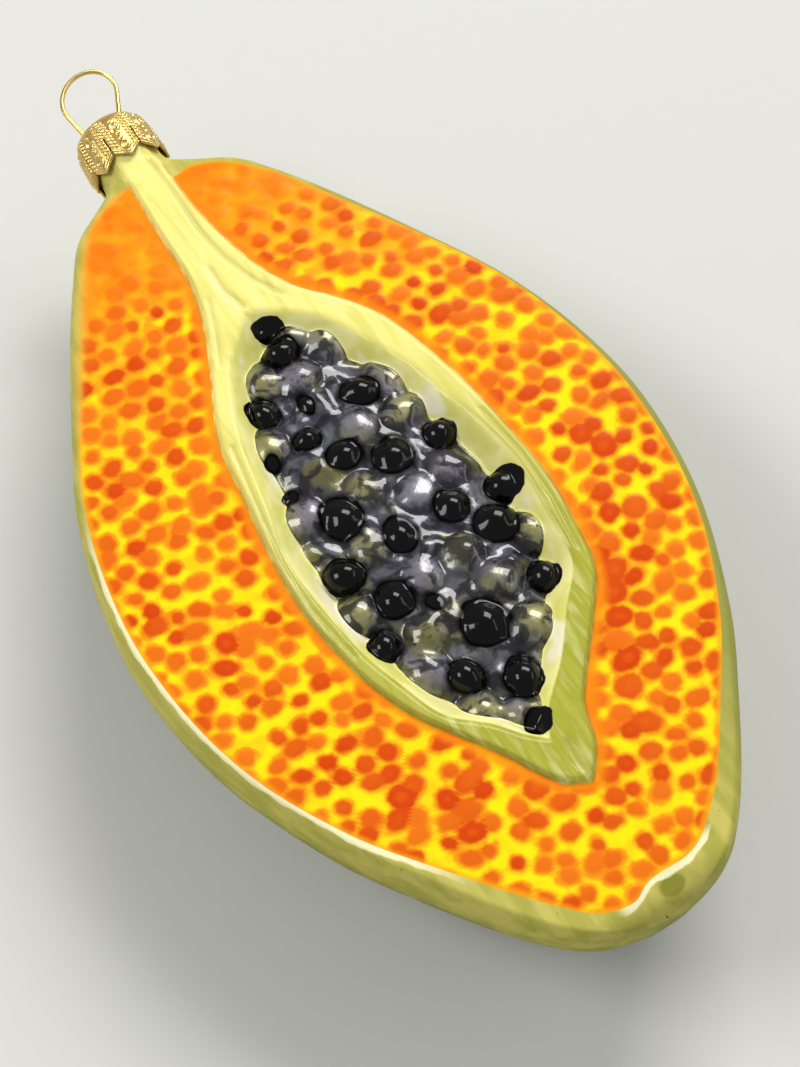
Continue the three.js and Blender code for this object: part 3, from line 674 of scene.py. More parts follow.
def dimple_reach(x, y):
    """How far each place is from the middle of the blossom end's dimple, 1 at its edge."""
    return np.hypot((x - DIMPLE["x"]) / DIMPLE["half"][0], (y - DIMPLE["y"]) / DIMPLE["half"][1])


def ring_faces(rows, count, start=0, flip=False):
    """Quads between rows of a closed ring of places."""
    index = np.arange(rows * count).reshape(rows, count) + start
    a, b = index[:-1], np.roll(index, -1, axis=1)[:-1]
    c, d = np.roll(index, -1, axis=1)[1:], index[1:]
    quads = np.stack([a, b, c, d], 2).reshape(-1, 4)
    return quads[:, ::-1] if flip else quads


def mesh_object(name, places, faces, attributes=()):
    """A smooth-shaded object from places and faces, with named numbers on its places."""
    mesh = bpy.data.meshes.new(name)
    mesh.from_pydata([tuple(p) for p in places], [], [tuple(int(i) for i in f) for f in faces])
    mesh.shade_smooth()
    for label, values in attributes:
        layer = mesh.attributes.new(label, "FLOAT", "POINT")
        layer.data.foreach_set("value", np.asarray(values, np.float32))
    mesh.validate()
    piece = bpy.data.objects.new(name, mesh)
    bpy.context.scene.collection.objects.link(piece)
    return piece


def to_part(places):
    """From the cut face's frame to the part's frame."""
    return np.asarray(places) + np.array((0, -REST_Y, FACE_HEIGHT))


def to_crown(places):
    """From the cap's own frame to the part's frame: turned up with the neck and set on it."""
    cos, sin = math.cos(NECK["tilt"]), math.sin(NECK["tilt"])
    x, y, z = np.asarray(places).T
    turned = np.stack([x, y * cos - z * sin, y * sin + z * cos], 1)
    middle = face_top(np.array(CAP_AT)) - rim_drop(np.array(CAP_AT))
    return to_part(turned + np.array((0, CAP_AT, float(middle))))


def glass_attributes(marks, under):
    """Paint marks for every place of the outside, in millimetres where they are distances."""
    x, y = marks.x, marks.y
    drop = np.maximum(face_top(y) - bare_top(x, y), 0)
    past_face = np.abs(x) > half_width(y) - rim_width(y)
    over = np.where(past_face, drop * RIM_PAINT, 0)
    # where the pale rim line, cream paint with a painted highlight, is drawn
    cream_and_highlight_side = smooth(-x, *CREAM_AND_HIGHLIGHT_SIDE["left"]) * smooth(y, *CREAM_AND_HIGHLIGHT_SIDE["above"])
    cream_and_highlight_side = cream_and_highlight_side * smooth(-y, *CREAM_AND_HIGHLIGHT_SIDE["below"])
    cream_and_highlight_foot = smooth(-y, *CREAM_AND_HIGHLIGHT_FOOT["below"]) * smooth(x, *CREAM_AND_HIGHLIGHT_FOOT["right"])
    soft_side = smooth(-x, *SOFT_SIDE["left"]) * smooth(y, *SOFT_SIDE["above"])
    crisp, softer = SOFT_SIDE["edge"]
    values = {
        "flesh": ((marks.flesh - over) / MM, NO_MARK),
        "band": (marks.band / MM, NO_MARK),
        "hollow": (marks.hollow / MM, NO_MARK),
        "bed_rise": (marks.bed_rise / MM, NO_MARK),
        "seed": (marks.seed / MM, NO_MARK),
        "lump": (marks.lump, NO_MARK),
        "lump_tone": (marks.lump_tone, 0.0),
        "dot": (marks.dot / MM, NO_MARK),
        "dot_tone": (marks.dot_tone, 0.0),
        "fold_shade": (marks.fold_shade, 0.0),
        "cream_and_highlight": (np.maximum(cream_and_highlight_side, cream_and_highlight_foot), 0.0),
        "soft_edge": (crisp + softer * soft_side, crisp),
        "dimple": (1 - dimple_reach(x, y), NO_MARK),
    }
    rows, across = x.shape
    out = []
    for name, (on_top, elsewhere) in values.items():
        flat = np.full((rows, across + under), elsewhere)
        flat[:, :across] = on_top[:, ::-1]
        out.append((name, flat))
    return out


def blossom_end(first, start):
    """Ever smaller rings inside the first row, the faces that join them, and the face over the last one."""
    count = len(first)
    centre = first.mean(0)
    rings = [centre + (first - centre) * share for share in END_RINGS]
    starts = [0, *(start + i * count for i in range(len(rings)))]
    pair = np.arange(count)
    after = (pair + 1) % count
    faces = [
        np.stack([far + pair, far + after, near + after, near + pair], 1)
        for near, far in zip(starts, starts[1:])
    ]
    return rings, faces, [starts[-1] + i for i in reversed(range(count))]


def glass_inside(wall):
    """The inside of the glass as rows of places, sunk under the hollow."""
    y = np.linspace(INSIDE["from"], NECK["mouth"], INSIDE["rows"])
    half = INSIDE["sides"] // 2
    turn = np.linspace(0, 1, half + 1)[None, :]
    x = -(half_width(y) - wall)[:, None] * np.cos(turn * math.pi)
    top_y = np.repeat(y[:, None], x.shape[1], axis=1)
    sunk = edge_distance(x, top_y, hollow_left, hollow_right, *HOLLOW_ENDS)
    widest = face_top(y) - rim_drop(y)
    z = bare_top(x, top_y) - wall - HOLLOW["depth"] * smooth(sunk, *INSIDE["sinks"])
    z = np.maximum(z, widest[:, None] - INSIDE["deepest"])
    z[:, 0] = z[:, -1] = widest
    return np.concatenate([closed_rows(x, y, z), round_back(y, half, wall)], axis=1)


def build_glass(settings):
    """The hollow painted glass as one mesh: outside, inside, the rim of the mouth and the blossom end."""
    top, back, marks = glass_places(settings)
    outside = np.concatenate([top, back], axis=1)
    rows, count = outside.shape[:2]
    rings, end_faces, end_cover = blossom_end(outside[0], rows * count)
    inside = glass_inside(settings.wall)
    inner_rows, inner_count = inside.shape[:2]
    start = (rows + len(rings)) * count
    inner_last = start + (inner_rows - 1) * inner_count
    mouth = bridge(outside[-1], (rows - 1) * count, inside[-1], inner_last)

    quads = [ring_faces(rows, count), *end_faces, ring_faces(inner_rows, inner_count, start, flip=True)]
    faces = [tuple(f) for part in quads for f in part]
    faces += [end_cover, list(range(start, start + inner_count)), *mouth]
    named = []
    for name, flat in glass_attributes(marks, back.shape[1]):
        on_rings = flat[0].tolist() * len(rings)
        on_inside = [flat[0, -1]] * (inner_rows * inner_count)
        named.append((name, np.concatenate([flat.ravel(), on_rings, on_inside])))
    places = np.concatenate([outside.reshape(-1, 3), *rings, inside.reshape(-1, 3)])
    return mesh_object("painted_glass", to_part(places), faces, named)


def bridge(outer, outer_start, inner, inner_start):
    """Triangles between two rings with different numbers of places, matched by their angle."""
    turn = [np.unwrap(np.arctan2(ring[:, 2] - ring[:, 2].mean(), ring[:, 0])) for ring in (outer, inner)]
    if turn[0][-1] < turn[0][0]:
        turn = [-t for t in turn]
    nearest = int(np.argmin(np.abs(np.exp(1j * turn[1]) - np.exp(1j * turn[0][0]))))
    inner_turn = np.unwrap(np.roll(turn[1], -nearest))
    inner_turn = inner_turn - inner_turn[0] + turn[0][0]
    outer_turn = np.append(turn[0], turn[0][0] + 2 * math.pi)
    inner_turn = np.append(inner_turn, inner_turn[0] + 2 * math.pi)
    n, m = len(outer), len(inner)
    faces = []
    i = j = 0
    while i < n or j < m:
        a, b = outer_start + i % n, inner_start + (j + nearest) % m
        if j >= m or (i < n and outer_turn[i + 1] <= inner_turn[j + 1]):
            faces.append((a, outer_start + (i + 1) % n, b))
            i += 1
        else:
            faces.append((a, inner_start + (j + 1 + nearest) % m, b))
            j += 1
    return faces


def dome(away, radius):
    """Height of a round bead, as a share, at a distance from its middle."""
    return np.sqrt(np.clip(1 - (away / radius) ** 2, 0, 1))


def ridge(away, half):
    """Height of a sharp ridge, as a share, at a distance from its crest."""
    return np.clip(1 - np.abs(away) / half, 0, 1)


def cap_relief(u, height, edge, bead):
    """Stamped relief of a petal, over the distances from its middle line and from its tip's edge."""
    side = PETAL_HALF - np.abs(u)
    layers = []
    in_line = (edge > BEAD_LINE["off_edge"]) & (height < BEAD_LINE["top"])
    for inset, radius, shift in BEAD_LINES:
        along = ((height / BEAD_LINE["pitch"] + shift) % 1 - 0.5) * BEAD_LINE["pitch"]
        layers.append(np.where(in_line, bead * dome(np.hypot(side - inset, along), radius), 0))
    for inset in RIDGES["in"]:
        rise = RIDGES["rise"] * bead * ridge(edge - inset, RIDGES["half"])
        layers.append(np.where(height < RIDGES["top"], rise, 0))
    for at, radius, hollow in BOSSES:
        away = np.hypot(u, height - at)
        if hollow:
            layers.append(BOSS_RING["rise"] * bead * ridge(away - radius, BOSS_RING["half"]))
        else:
            layers.append(bead * dome(away, radius))
    half_u, half_height = ROSETTE["half"]
    for number in range(ROSETTE["beads"]):
        a = number * 2 * math.pi / ROSETTE["beads"]
        away = np.hypot(u - half_u * math.sin(a), height - ROSETTE["at"] - half_height * math.cos(a))
        layers.append(ROSETTE["rise"] * bead * dome(away, ROSETTE["radius"]))
    return np.max(layers, axis=0)


def petal_column(petal, u, radius, height, bead):
    """One line of places up a petal, at a share u of its half-width, and its stamped relief."""
    share = 1 - SLIT["width"] / (2 * math.pi * CAP_OUTSIDE[0][0] / PETALS)
    out = abs(u) * share
    turn = (petal + 0.5 * u * share) * 2 * math.pi / PETALS
    low = np.clip(1 - height / SLIT["top"], 0, 1)
    swell = -PETAL_BULGE * 0.5 * (1 - math.cos(math.pi * out)) * low
    y = height + TIP_DROP * out * low**2
    lift = cap_relief(u * share * math.pi * radius / PETALS, y, y - TIP_DROP * out, bead)
    r = radius + swell + lift
    return np.stack([r * math.sin(turn), y, r * math.cos(turn)], 1), lift


def cap_faces(points, height):
    """Quads between a cap's columns, open at the slits and the wire's slots, and one face over the top."""
    starts = np.arange(0, len(points), CAP_ROWS)
    faces = []
    for column, (here, there) in enumerate(zip(starts, np.roll(starts, -1))):
        between_petals = (column + 1) % (PETAL_COLUMNS + 1) == 0
        for row in range(CAP_ROWS - 1):
            if between_petals and height[row] < SLIT["top"]:
                continue
            quad = [here + row, there + row, there + row + 1, here + row + 1]
            if not in_slot(points[quad].mean(0)):
                faces.append(quad)
    faces.append(starts + CAP_ROWS - 1)
    return faces


def build_cap(settings):
    """The stamped crown cap: eight beaded petals under a dome with two slots for the wire."""
    length = np.concatenate([[0], np.cumsum(np.hypot(*np.diff(CAP_OUTSIDE, axis=0).T))])
    along = np.linspace(0, length[-1], CAP_ROWS)
    radius = through(np.stack([length, CAP_OUTSIDE[:, 0]], 1))(along)
    height = through(np.stack([length, CAP_OUTSIDE[:, 1]], 1))(along)
    bead = settings.bead_rise
    columns = [
        petal_column(petal, u, radius, height, bead)
        for petal in range(PETALS)
        for u in np.linspace(-1, 1, PETAL_COLUMNS + 1)
    ]
    points = np.concatenate([places for places, lift in columns])
    relief = np.concatenate([lift for places, lift in columns]) / bead
    piece = mesh_object("crown_cap", to_crown(points), cap_faces(points, height), [("relief", relief)])
    metal = piece.modifiers.new("metal", "SOLIDIFY")
    metal.thickness = CAP_METAL
    metal.offset = -1
    return piece


def in_slot(place):
    """Whether a place on the dome lies in one of the two slots for the wire."""
    away = math.hypot(place[0], place[2])
    turn = math.atan2(abs(place[2]), abs(place[0]))
    on_dome = place[1] > CAP_OUTSIDE[4][1]
    return on_dome and SLOT["from"] < away < SLOT["to"] and turn < SLOT["half_turn"]


def smooth_route(points, steps):
    """An even run of places on a centripetal curve through the points."""
    knots = np.concatenate([[2 * points[0] - points[1]], points, [2 * points[-1] - points[-2]]])
    out = []
    for p0, p1, p2, p3 in zip(knots, knots[1:], knots[2:], knots[3:]):
        t0 = 0.0
        t1 = t0 + np.linalg.norm(p1 - p0) ** 0.5
        t2 = t1 + np.linalg.norm(p2 - p1) ** 0.5
        t3 = t2 + np.linalg.norm(p3 - p2) ** 0.5
        for t in np.linspace(t1, t2, BEND_STEPS, endpoint=False):
            a1 = (t1 - t) / (t1 - t0) * p0 + (t - t0) / (t1 - t0) * p1
            a2 = (t2 - t) / (t2 - t1) * p1 + (t - t1) / (t2 - t1) * p2
            a3 = (t3 - t) / (t3 - t2) * p2 + (t - t2) / (t3 - t2) * p3
            b1 = (t2 - t) / (t2 - t0) * a1 + (t - t0) / (t2 - t0) * a2
            b2 = (t3 - t) / (t3 - t1) * a2 + (t - t1) / (t3 - t1) * a3
            out.append((t2 - t) / (t2 - t1) * b1 + (t - t1) / (t2 - t1) * b2)
    out = np.array([*out, points[-1]])
    length = np.concatenate([[0], np.cumsum(np.linalg.norm(np.diff(out, axis=0), axis=1))])
    even = np.linspace(0, length[-1], steps + 1)
    return np.stack([np.interp(even, length, out[:, axis]) for axis in range(out.shape[1])], 1)


def build_hanger(settings):
    """The bent wire: up through a slot, round the ring and down through the other slot."""
    turn = np.radians(np.arange(180, -1, -RING["step"]))
    arc = np.stack([RING["radius"] * np.cos(turn), RING["middle"] + RING["radius"] * np.sin(turn)], 1)
    bends = np.concatenate([LEG, arc, (LEG * (-1, 1))[::-1]])
    bends[:, 0] += RING["lean"] * np.maximum(0, bends[:, 1] - RING["foot"])
    route = smooth_route(bends, WIRE_STEPS)
    heading = np.gradient(route, axis=0)
    heading /= np.linalg.norm(heading, axis=1)[:, None]
    side = np.stack([-heading[:, 1], heading[:, 0]], 1)
    radius = np.full(len(route), settings.wire / 2)
    radius[[0, -1]] *= WIRE_TIP
    around_wire = np.linspace(0, 2 * math.pi, WIRE_SIDES, endpoint=False)
    out = radius[:, None] * np.cos(around_wire)
    up = radius[:, None] * np.sin(around_wire)
    flat = route[:, None, :] + out[:, :, None] * side[:, None, :]
    points = np.concatenate([flat, up[:, :, None]], 2).reshape(-1, 3)
    faces = [tuple(f) for f in ring_faces(len(route), WIRE_SIDES)]
    last = (len(route) - 1) * WIRE_SIDES
    faces.append(tuple(reversed(range(WIRE_SIDES))))
    faces.append(tuple(range(last, last + WIRE_SIDES)))
    return mesh_object("wire_hanger", to_crown(points), faces)


class Tree:
    """Short calls that add nodes to a shader tree. A pattern's size is that of its features."""

    def __init__(self, tree):
        self.tree = tree

    def node(self, kind, **settings):
        """A new node with its settings."""
        node = self.tree.nodes.new(kind)
        for name, value in settings.items():
            setattr(node, name, value)
        return node

    def feed(self, socket, value):
        """Links another socket, or sets a plain value."""
        if isinstance(value, bpy.types.NodeSocket):
            self.tree.links.new(value, socket)
        else:
            socket.default_value = value

    def mark(self, name):
        """A mark that the mesh carries on its places."""
        node = self.node("ShaderNodeAttribute", attribute_type="GEOMETRY", attribute_name=name)
        return node.outputs["Fac"]

    def math(self, operation, first, second):
        """A sum, product or other operation on two values."""
        node = self.node("ShaderNodeMath", operation=operation)
        self.feed(node.inputs[0], first)
        self.feed(node.inputs[1], second)
        return node.outputs[0]

    def add(self, first, second):
        """The sum of two values."""
        return self.math("ADD", first, second)

    def times(self, first, second):
        """The product of two values."""
        return self.math("MULTIPLY", first, second)

    def ramp(self, value, low, high):
        """0 at low, 1 at high, an S-curve between; low may be the greater."""
        node = self.node("ShaderNodeMapRange", interpolation_type="SMOOTHSTEP")
        self.feed(node.inputs["Value"], value)
        node.inputs["From Min"].default_value = low
        node.inputs["From Max"].default_value = high
        return node.outputs["Result"]

    def scale(self, value, low, high):
        """A mask from 0 to 1 spread over low to high."""
        node = self.node("ShaderNodeMapRange")
        self.feed(node.inputs["Value"], value)
        node.inputs["To Min"].default_value = low
        node.inputs["To Max"].default_value = high
        return node.outputs["Result"]

    def mix(self, mask, below, above):
        """One colour over another where a mask is."""
        node = self.node("ShaderNodeMix", data_type="RGBA")
        self.feed(node.inputs[0], mask)
        self.feed(node.inputs[6], below)
        self.feed(node.inputs[7], above)
        return node.outputs[2]

    def tint(self, colour, mask, share, paint):
        """A named paint laid thinly over a colour where a mask is, as a share of full cover."""
        return self.mix(self.times(mask, share), colour, srgb(PAINTS[paint]))

    def level(self, mask, below, above):
        """One value in place of another where a mask is."""
        node = self.node("ShaderNodeMix", data_type="FLOAT")
        self.feed(node.inputs[0], mask)
        self.feed(node.inputs[2], below)
        self.feed(node.inputs[3], above)
        return node.outputs[0]

    def place(self, stretch=(1, 1, 1)):
        """Object coordinates, stretched where a pattern runs along the piece."""
        coordinates = self.node("ShaderNodeTexCoord").outputs["Object"]
        node = self.node("ShaderNodeVectorMath", operation="MULTIPLY")
        self.feed(node.inputs[0], coordinates)
        node.inputs[1].default_value = stretch
        return node.outputs[0]

    def axes(self):
        """Object coordinates as separate X, Y and Z."""
        node = self.node("ShaderNodeSeparateXYZ")
        self.feed(node.inputs[0], self.place())
        return node.outputs

    def noise(self, size, detail=2, stretch=(1, 1, 1), twist=0.0):
        """Cloudy noise."""
        node = self.node("ShaderNodeTexNoise")
        self.feed(node.inputs["Vector"], self.place(stretch))
        node.inputs["Scale"].default_value = 1 / size
        node.inputs["Detail"].default_value = detail
        node.inputs["Distortion"].default_value = twist
        return node.outputs["Fac"]

    def swing(self, size, detail, reach, twist=0.0):
        """Noise about zero, spread over the given reach."""
        return self.times(self.math("SUBTRACT", self.noise(size, detail, twist=twist), 0.5), reach)

    def bump(self, height, strength, distance):
        """A normal from a height pattern."""
        node = self.node("ShaderNodeBump")
        node.inputs["Strength"].default_value = strength
        node.inputs["Distance"].default_value = distance
        self.feed(node.inputs["Height"], height)
        return node.outputs["Normal"]


def new_material(name):
    """An empty material with its shader and a tree to fill."""
    material = bpy.data.materials.new(name)
    material.use_nodes = True
    tree = material.node_tree
    return material, Tree(tree), tree.nodes["Principled BSDF"]


def patina_group():
    """Masks for the wear that both metals share: broad cloudiness and fine scuffs."""
    group = bpy.data.node_groups.new("patina", "ShaderNodeTree")
    size = group.interface.new_socket("Size", in_out="INPUT", socket_type="NodeSocketFloat")
    size.default_value = PATINA_SIZE
    group.interface.new_socket("Vector", in_out="INPUT", socket_type="NodeSocketVector")
    group.interface.new_socket("Cloud", in_out="OUTPUT", socket_type="NodeSocketFloat")
    group.interface.new_socket("Scuff", in_out="OUTPUT", socket_type="NodeSocketFloat")
    tree = Tree(group)
    given = tree.node("NodeGroupInput")
    result = tree.node("NodeGroupOutput")
    for name, (factor, detail) in PATINA_LAYERS.items():
        texture = tree.node("ShaderNodeTexNoise")
        tree.feed(texture.inputs["Vector"], given.outputs["Vector"])
        tree.feed(texture.inputs["Scale"], tree.times(given.outputs["Size"], factor))
        texture.inputs["Detail"].default_value = detail
        tree.feed(result.inputs[name], tree.ramp(texture.outputs["Fac"], *PATINA_RANGE))
    return group


def flesh_colour(nodes, settings):
    """Ripe flesh: red dots on a net of yellow and amber, plain orange at the stalk end and at edges."""
    size, over, share = FLESH_SIZES, FLESH_RANGES, FLESH_SHARES
    along = nodes.axes()["Y"]
    cloud = nodes.noise(size["cloud"])
    riper = nodes.times(nodes.ramp(along, *over["riper"]), share["riper"])
    amber = nodes.ramp(nodes.add(cloud, riper), *over["amber"])
    ground = nodes.mix(amber, tuple(settings.yellow), tuple(settings.amber))
    deep = nodes.ramp(nodes.add(nodes.noise(size["deep"], 1), riper), *over["deep"])
    ground = nodes.mix(deep, ground, srgb(PAINTS["deep amber"]))

    dot = nodes.add(nodes.mark("dot"), nodes.swing(size["wobble"], 2, share["wobble"]))
    thin = nodes.scale(nodes.noise(size["net"]), *share["net"])
    net = nodes.times(nodes.ramp(dot, *over["net"]), thin)
    net = nodes.times(net, nodes.ramp(along, *over["low end"]))
    ground = nodes.mix(net, ground, tuple(settings.yellow))
    faint = nodes.scale(nodes.noise(size["halo"]), *share["halo"])
    colour = nodes.tint(ground, nodes.ramp(dot, *over["halo"]), faint, "halo")
    tone = nodes.add(nodes.mark("dot_tone"), nodes.swing(size["tone"], 1, share["tone"]))
    red = nodes.ramp(tone, *over["red"])
    core = nodes.mix(red, srgb(PAINTS["core"]), tuple(settings.red))
    colour = nodes.mix(nodes.ramp(dot, *over["core"]), colour, core)
    colour = nodes.tint(colour, nodes.ramp(dot, *over["heart"]), share["heart"], "heart")

    lobe = nodes.ramp(nodes.add(along, nodes.times(cloud, share["lobe drift"])), *over["lobe"])
    patch = nodes.ramp(nodes.noise(size["lobe"], 1), *over["lobe patch"])
    plain = nodes.mix(patch, srgb(PAINTS["lobe"]), srgb(PAINTS["lobe patch"]))
    colour = nodes.mix(nodes.times(lobe, share["lobe"]), colour, plain)
    inset = nodes.add(nodes.mark("flesh"), nodes.times(cloud, share["edge drift"]))
    colour = nodes.tint(colour, nodes.ramp(inset, *over["edge"]), share["edge"], "flesh edge")
    beside = nodes.add(nodes.mark("band"), nodes.times(cloud, share["beside drift"]))
    return nodes.tint(colour, nodes.ramp(beside, *over["beside"]), share["beside"], "beside band")


def rind_colour(nodes):
    """Olive skin, greener low on the flank and darkened there as painted shade, with streaks along it and a
    few dark specks.
    """
    size, over, share = RIND_SIZES, RIND_RANGES, RIND_SHARES
    place = nodes.axes()
    streak = nodes.noise(size["streak"], 3, stretch=ALONG["rind"])
    khaki = nodes.ramp(streak, *over["khaki"])
    khaki = nodes.mix(khaki, srgb(PAINTS["khaki"]), srgb(PAINTS["light khaki"]))
    green = nodes.ramp(streak, *over["green"])
    green = nodes.mix(green, srgb(PAINTS["green"]), srgb(PAINTS["light green"]))
    # painted shade: greener and darker towards the bottom of the flank
    uneven = nodes.scale(nodes.noise(size["low"]), *share["low"])
    low = nodes.times(nodes.ramp(place["Z"], *over["low"]), uneven)
    colour = nodes.mix(low, khaki, green)
    colour = nodes.tint(colour, nodes.ramp(place["X"], *over["right"]), share["right"], "right flank")
    speck = nodes.ramp(nodes.noise(size["speck"]), *over["speck"])
    return nodes.tint(colour, speck, share["speck"], "speck")


def band_colour(nodes, settings):
    """Brushed pale yellow at the stalk, turning yellow-green towards the lower tip, with painted shade in
    its folds.
    """
    size, over, share = BAND_SIZES, BAND_RANGES, BAND_SHARES
    drift = nodes.times(nodes.noise(size["drift"]), share["drift"])
    unripe = nodes.ramp(nodes.add(nodes.axes()["Y"], drift), *over["unripe"])
    colour = nodes.mix(unripe, tuple(settings.band), srgb(PAINTS["unripe band"]))
    brush = nodes.noise(size["brush"], 3, stretch=ALONG["band"], twist=BRUSH_TWIST)
    colour = nodes.tint(colour, nodes.ramp(brush, *over["dark brush"]), share["dark brush"], "dark brush")
    colour = nodes.tint(colour, nodes.ramp(brush, *over["pale brush"]), share["pale brush"], "pale brush")
    # painted shade in the pressed folds
    colour = nodes.tint(colour, nodes.mark("fold_shade"), share["fold_shade"], "fold_shade")
    broken = nodes.ramp(nodes.noise(size["line"]), *over["broken"])
    line = nodes.times(nodes.ramp(nodes.mark("band"), *over["line"]), broken)
    return nodes.tint(colour, line, share["line"], "brown line")


def bed_colour(nodes, settings):
    """Silvering: grey and violet between the lumps, pale or olive on them, with smoky patches, and painted
    shade round the feet of the lumps and round the seeds.
    """
    size, over, share, twist = BED_SIZES, BED_RANGES, BED_SHARES, BED_TWISTS
    cloud = nodes.ramp(nodes.noise(size["cloud"], 3, twist=twist["cloud"]), *over["cloud"])
    colour = nodes.mix(cloud, srgb(PAINTS["silver"]), tuple(settings.violet))
    kind = nodes.ramp(nodes.mark("lump_tone"), *over["kind"])
    pale = nodes.mix(kind, srgb(PAINTS["pale lump"]), srgb(PAINTS["olive lump"]))
    swirl = nodes.swing(size["swirl"], 3, share["swirl"], twist["swirl"])
    middle = nodes.ramp(nodes.add(nodes.mark("lump"), swirl), *over["middle"])
    colour = nodes.mix(nodes.times(middle, share["middle"]), colour, pale)
    olive = nodes.ramp(nodes.noise(size["olive"], twist=twist["olive"]), *over["olive"])
    colour = nodes.tint(colour, olive, share["olive"], "olive bed")
    near_wall = nodes.ramp(nodes.mark("hollow"), *over["near wall"])
    colour = nodes.tint(colour, near_wall, share["near wall"], "near wall")
    smoke = nodes.ramp(nodes.noise(size["smoke"], 3, twist=twist["smoke"]), *over["smoke"])
    colour = nodes.tint(colour, smoke, share["smoke"], "smoke")
    # painted shade: a dark ring round the foot of each lump
    lump = nodes.add(nodes.mark("lump"), nodes.times(swirl, share["foot shade drift"]))
    foot = nodes.times(nodes.ramp(lump, *over["foot shade inside"]), nodes.ramp(lump, *over["foot shade outside"]))
    colour = nodes.tint(colour, foot, share["foot"], "foot")
    shade = nodes.ramp(nodes.mark("seed"), *over["shade"])
    return nodes.tint(colour, shade, share["shade"], "shade")


def wall_colour(nodes):
    """The hollow's side: pale yellow paint, lightened as painted light, with whitish patches of painted
    highlight in places.
    """
    cloud = nodes.ramp(nodes.noise(WALL_SIZES["cloud"]), *WALL_RANGES["cloud"])
    colour = nodes.mix(cloud, srgb(PAINTS["wall"]), srgb(PAINTS["green wall"]))
    # painted highlight: whitish patches drawn out along the wall
    highlight_patch = nodes.ramp(nodes.noise(WALL_SIZES["highlight_patch"], 1, stretch=ALONG["wall"]), *WALL_RANGES["highlight_patch"])
    return nodes.mix(highlight_patch, colour, srgb(PAINTS["wall highlight"]))


def area_masks(nodes):
    """Where each painted area lies, in the order in which they cover each other."""
    size, over, share = AREA_SIZES, AREA_RANGES, AREA_SHARES
    flesh = nodes.math("DIVIDE", nodes.mark("flesh"), nodes.mark("soft_edge"))
    band = nodes.add(nodes.mark("band"), nodes.times(nodes.noise(size["band"]), share["band"]))
    seed = nodes.add(nodes.mark("seed"), nodes.times(nodes.noise(size["seed"], 1), share["seed"]))
    return {
        "flesh": nodes.ramp(flesh, *over["flesh"]),
        "band": nodes.ramp(band, *over["band"]),
        "wall": nodes.ramp(nodes.mark("hollow"), *over["wall"]),
        "bed": nodes.ramp(nodes.mark("bed_rise"), *over["bed"]),
        "seed": nodes.ramp(seed, *over["seed"]),
    }


def over_areas(nodes, masks, values):
    """A value for the rind, covered by each area's own value."""
    out = values["rind"]
    for name, mask in masks.items():
        out = nodes.level(mask, out, values[name])
    return out


def painted_glass(settings):
    """Lacquer over silvered glass, one paint for each marked area."""
    material, nodes, shader = new_material("painted_glass")
    size, over, share = AREA_SIZES, AREA_RANGES, AREA_SHARES
    masks = area_masks(nodes)
    # the pale rim line: cream paint and a painted highlight where the rim rounds over
    cream_and_highlight = nodes.math("SUBTRACT", nodes.mark("flesh"), nodes.noise(size["cream_and_highlight"]))
    cream_and_highlight = nodes.times(nodes.ramp(cream_and_highlight, *over["cream_and_highlight"]), nodes.mark("cream_and_highlight"))
    dimple = nodes.ramp(nodes.mark("dimple"), *over["dimple"])
    colour = nodes.tint(rind_colour(nodes), dimple, share["dimple"], "dimple")
    colour = nodes.mix(cream_and_highlight, colour, srgb(PAINTS["pale line and highlight"]))
    colour = nodes.mix(masks["flesh"], colour, flesh_colour(nodes, settings))
    colour = nodes.mix(masks["band"], colour, band_colour(nodes, settings))
    colour = nodes.mix(masks["wall"], colour, wall_colour(nodes))
    colour = nodes.mix(masks["bed"], colour, bed_colour(nodes, settings))
    colour = nodes.mix(masks["seed"], colour, tuple(settings.seed_black))
    nodes.feed(shader.inputs["Base Color"], colour)

    nodes.feed(shader.inputs["Metallic"], over_areas(nodes, masks, AREA_METALLIC))
    uneven = nodes.scale(nodes.noise(size["uneven"]), *share["uneven"])
    rough = nodes.add(over_areas(nodes, masks, AREA_ROUGHNESS), uneven)
    nodes.feed(shader.inputs["Roughness"], rough)
    seed = nodes.mark("seed")
    crease = nodes.times(nodes.ramp(seed, *over["crease outside"]), nodes.ramp(seed, *over["crease inside"]))
    coat = over_areas(nodes, masks, AREA_COAT)
    coat = nodes.level(nodes.times(crease, masks["bed"]), coat, share["crease coat"])
    nodes.feed(shader.inputs["Coat Weight"], coat)
    shader.inputs["Coat Roughness"].default_value = GLASS["coat_roughness"]
    shader.inputs["Specular IOR Level"].default_value = GLASS["specular"]
    fine = nodes.times(nodes.noise(size["fine ripple"]), share["fine ripple"])
    ripple = nodes.add(nodes.noise(size["ripple"]), fine)
    ripple = nodes.times(ripple, nodes.level(masks["bed"], 1.0, share["bed ripple"]))
    nodes.feed(shader.inputs["Normal"], nodes.bump(ripple, GLASS["ripple"], GLASS["ripple_depth"]))
    return material


def new_metal(name, patina, size):
    """A gold-coloured metal's material, with its shared wear at the given size."""
    material, nodes, shader = new_material(name)
    wear = nodes.node("ShaderNodeGroup", node_tree=patina)
    nodes.feed(wear.inputs["Vector"], nodes.place())
    wear.inputs["Size"].default_value = 1 / size
    shader.inputs["Metallic"].default_value = 1.0
    return material, nodes, shader, wear.outputs


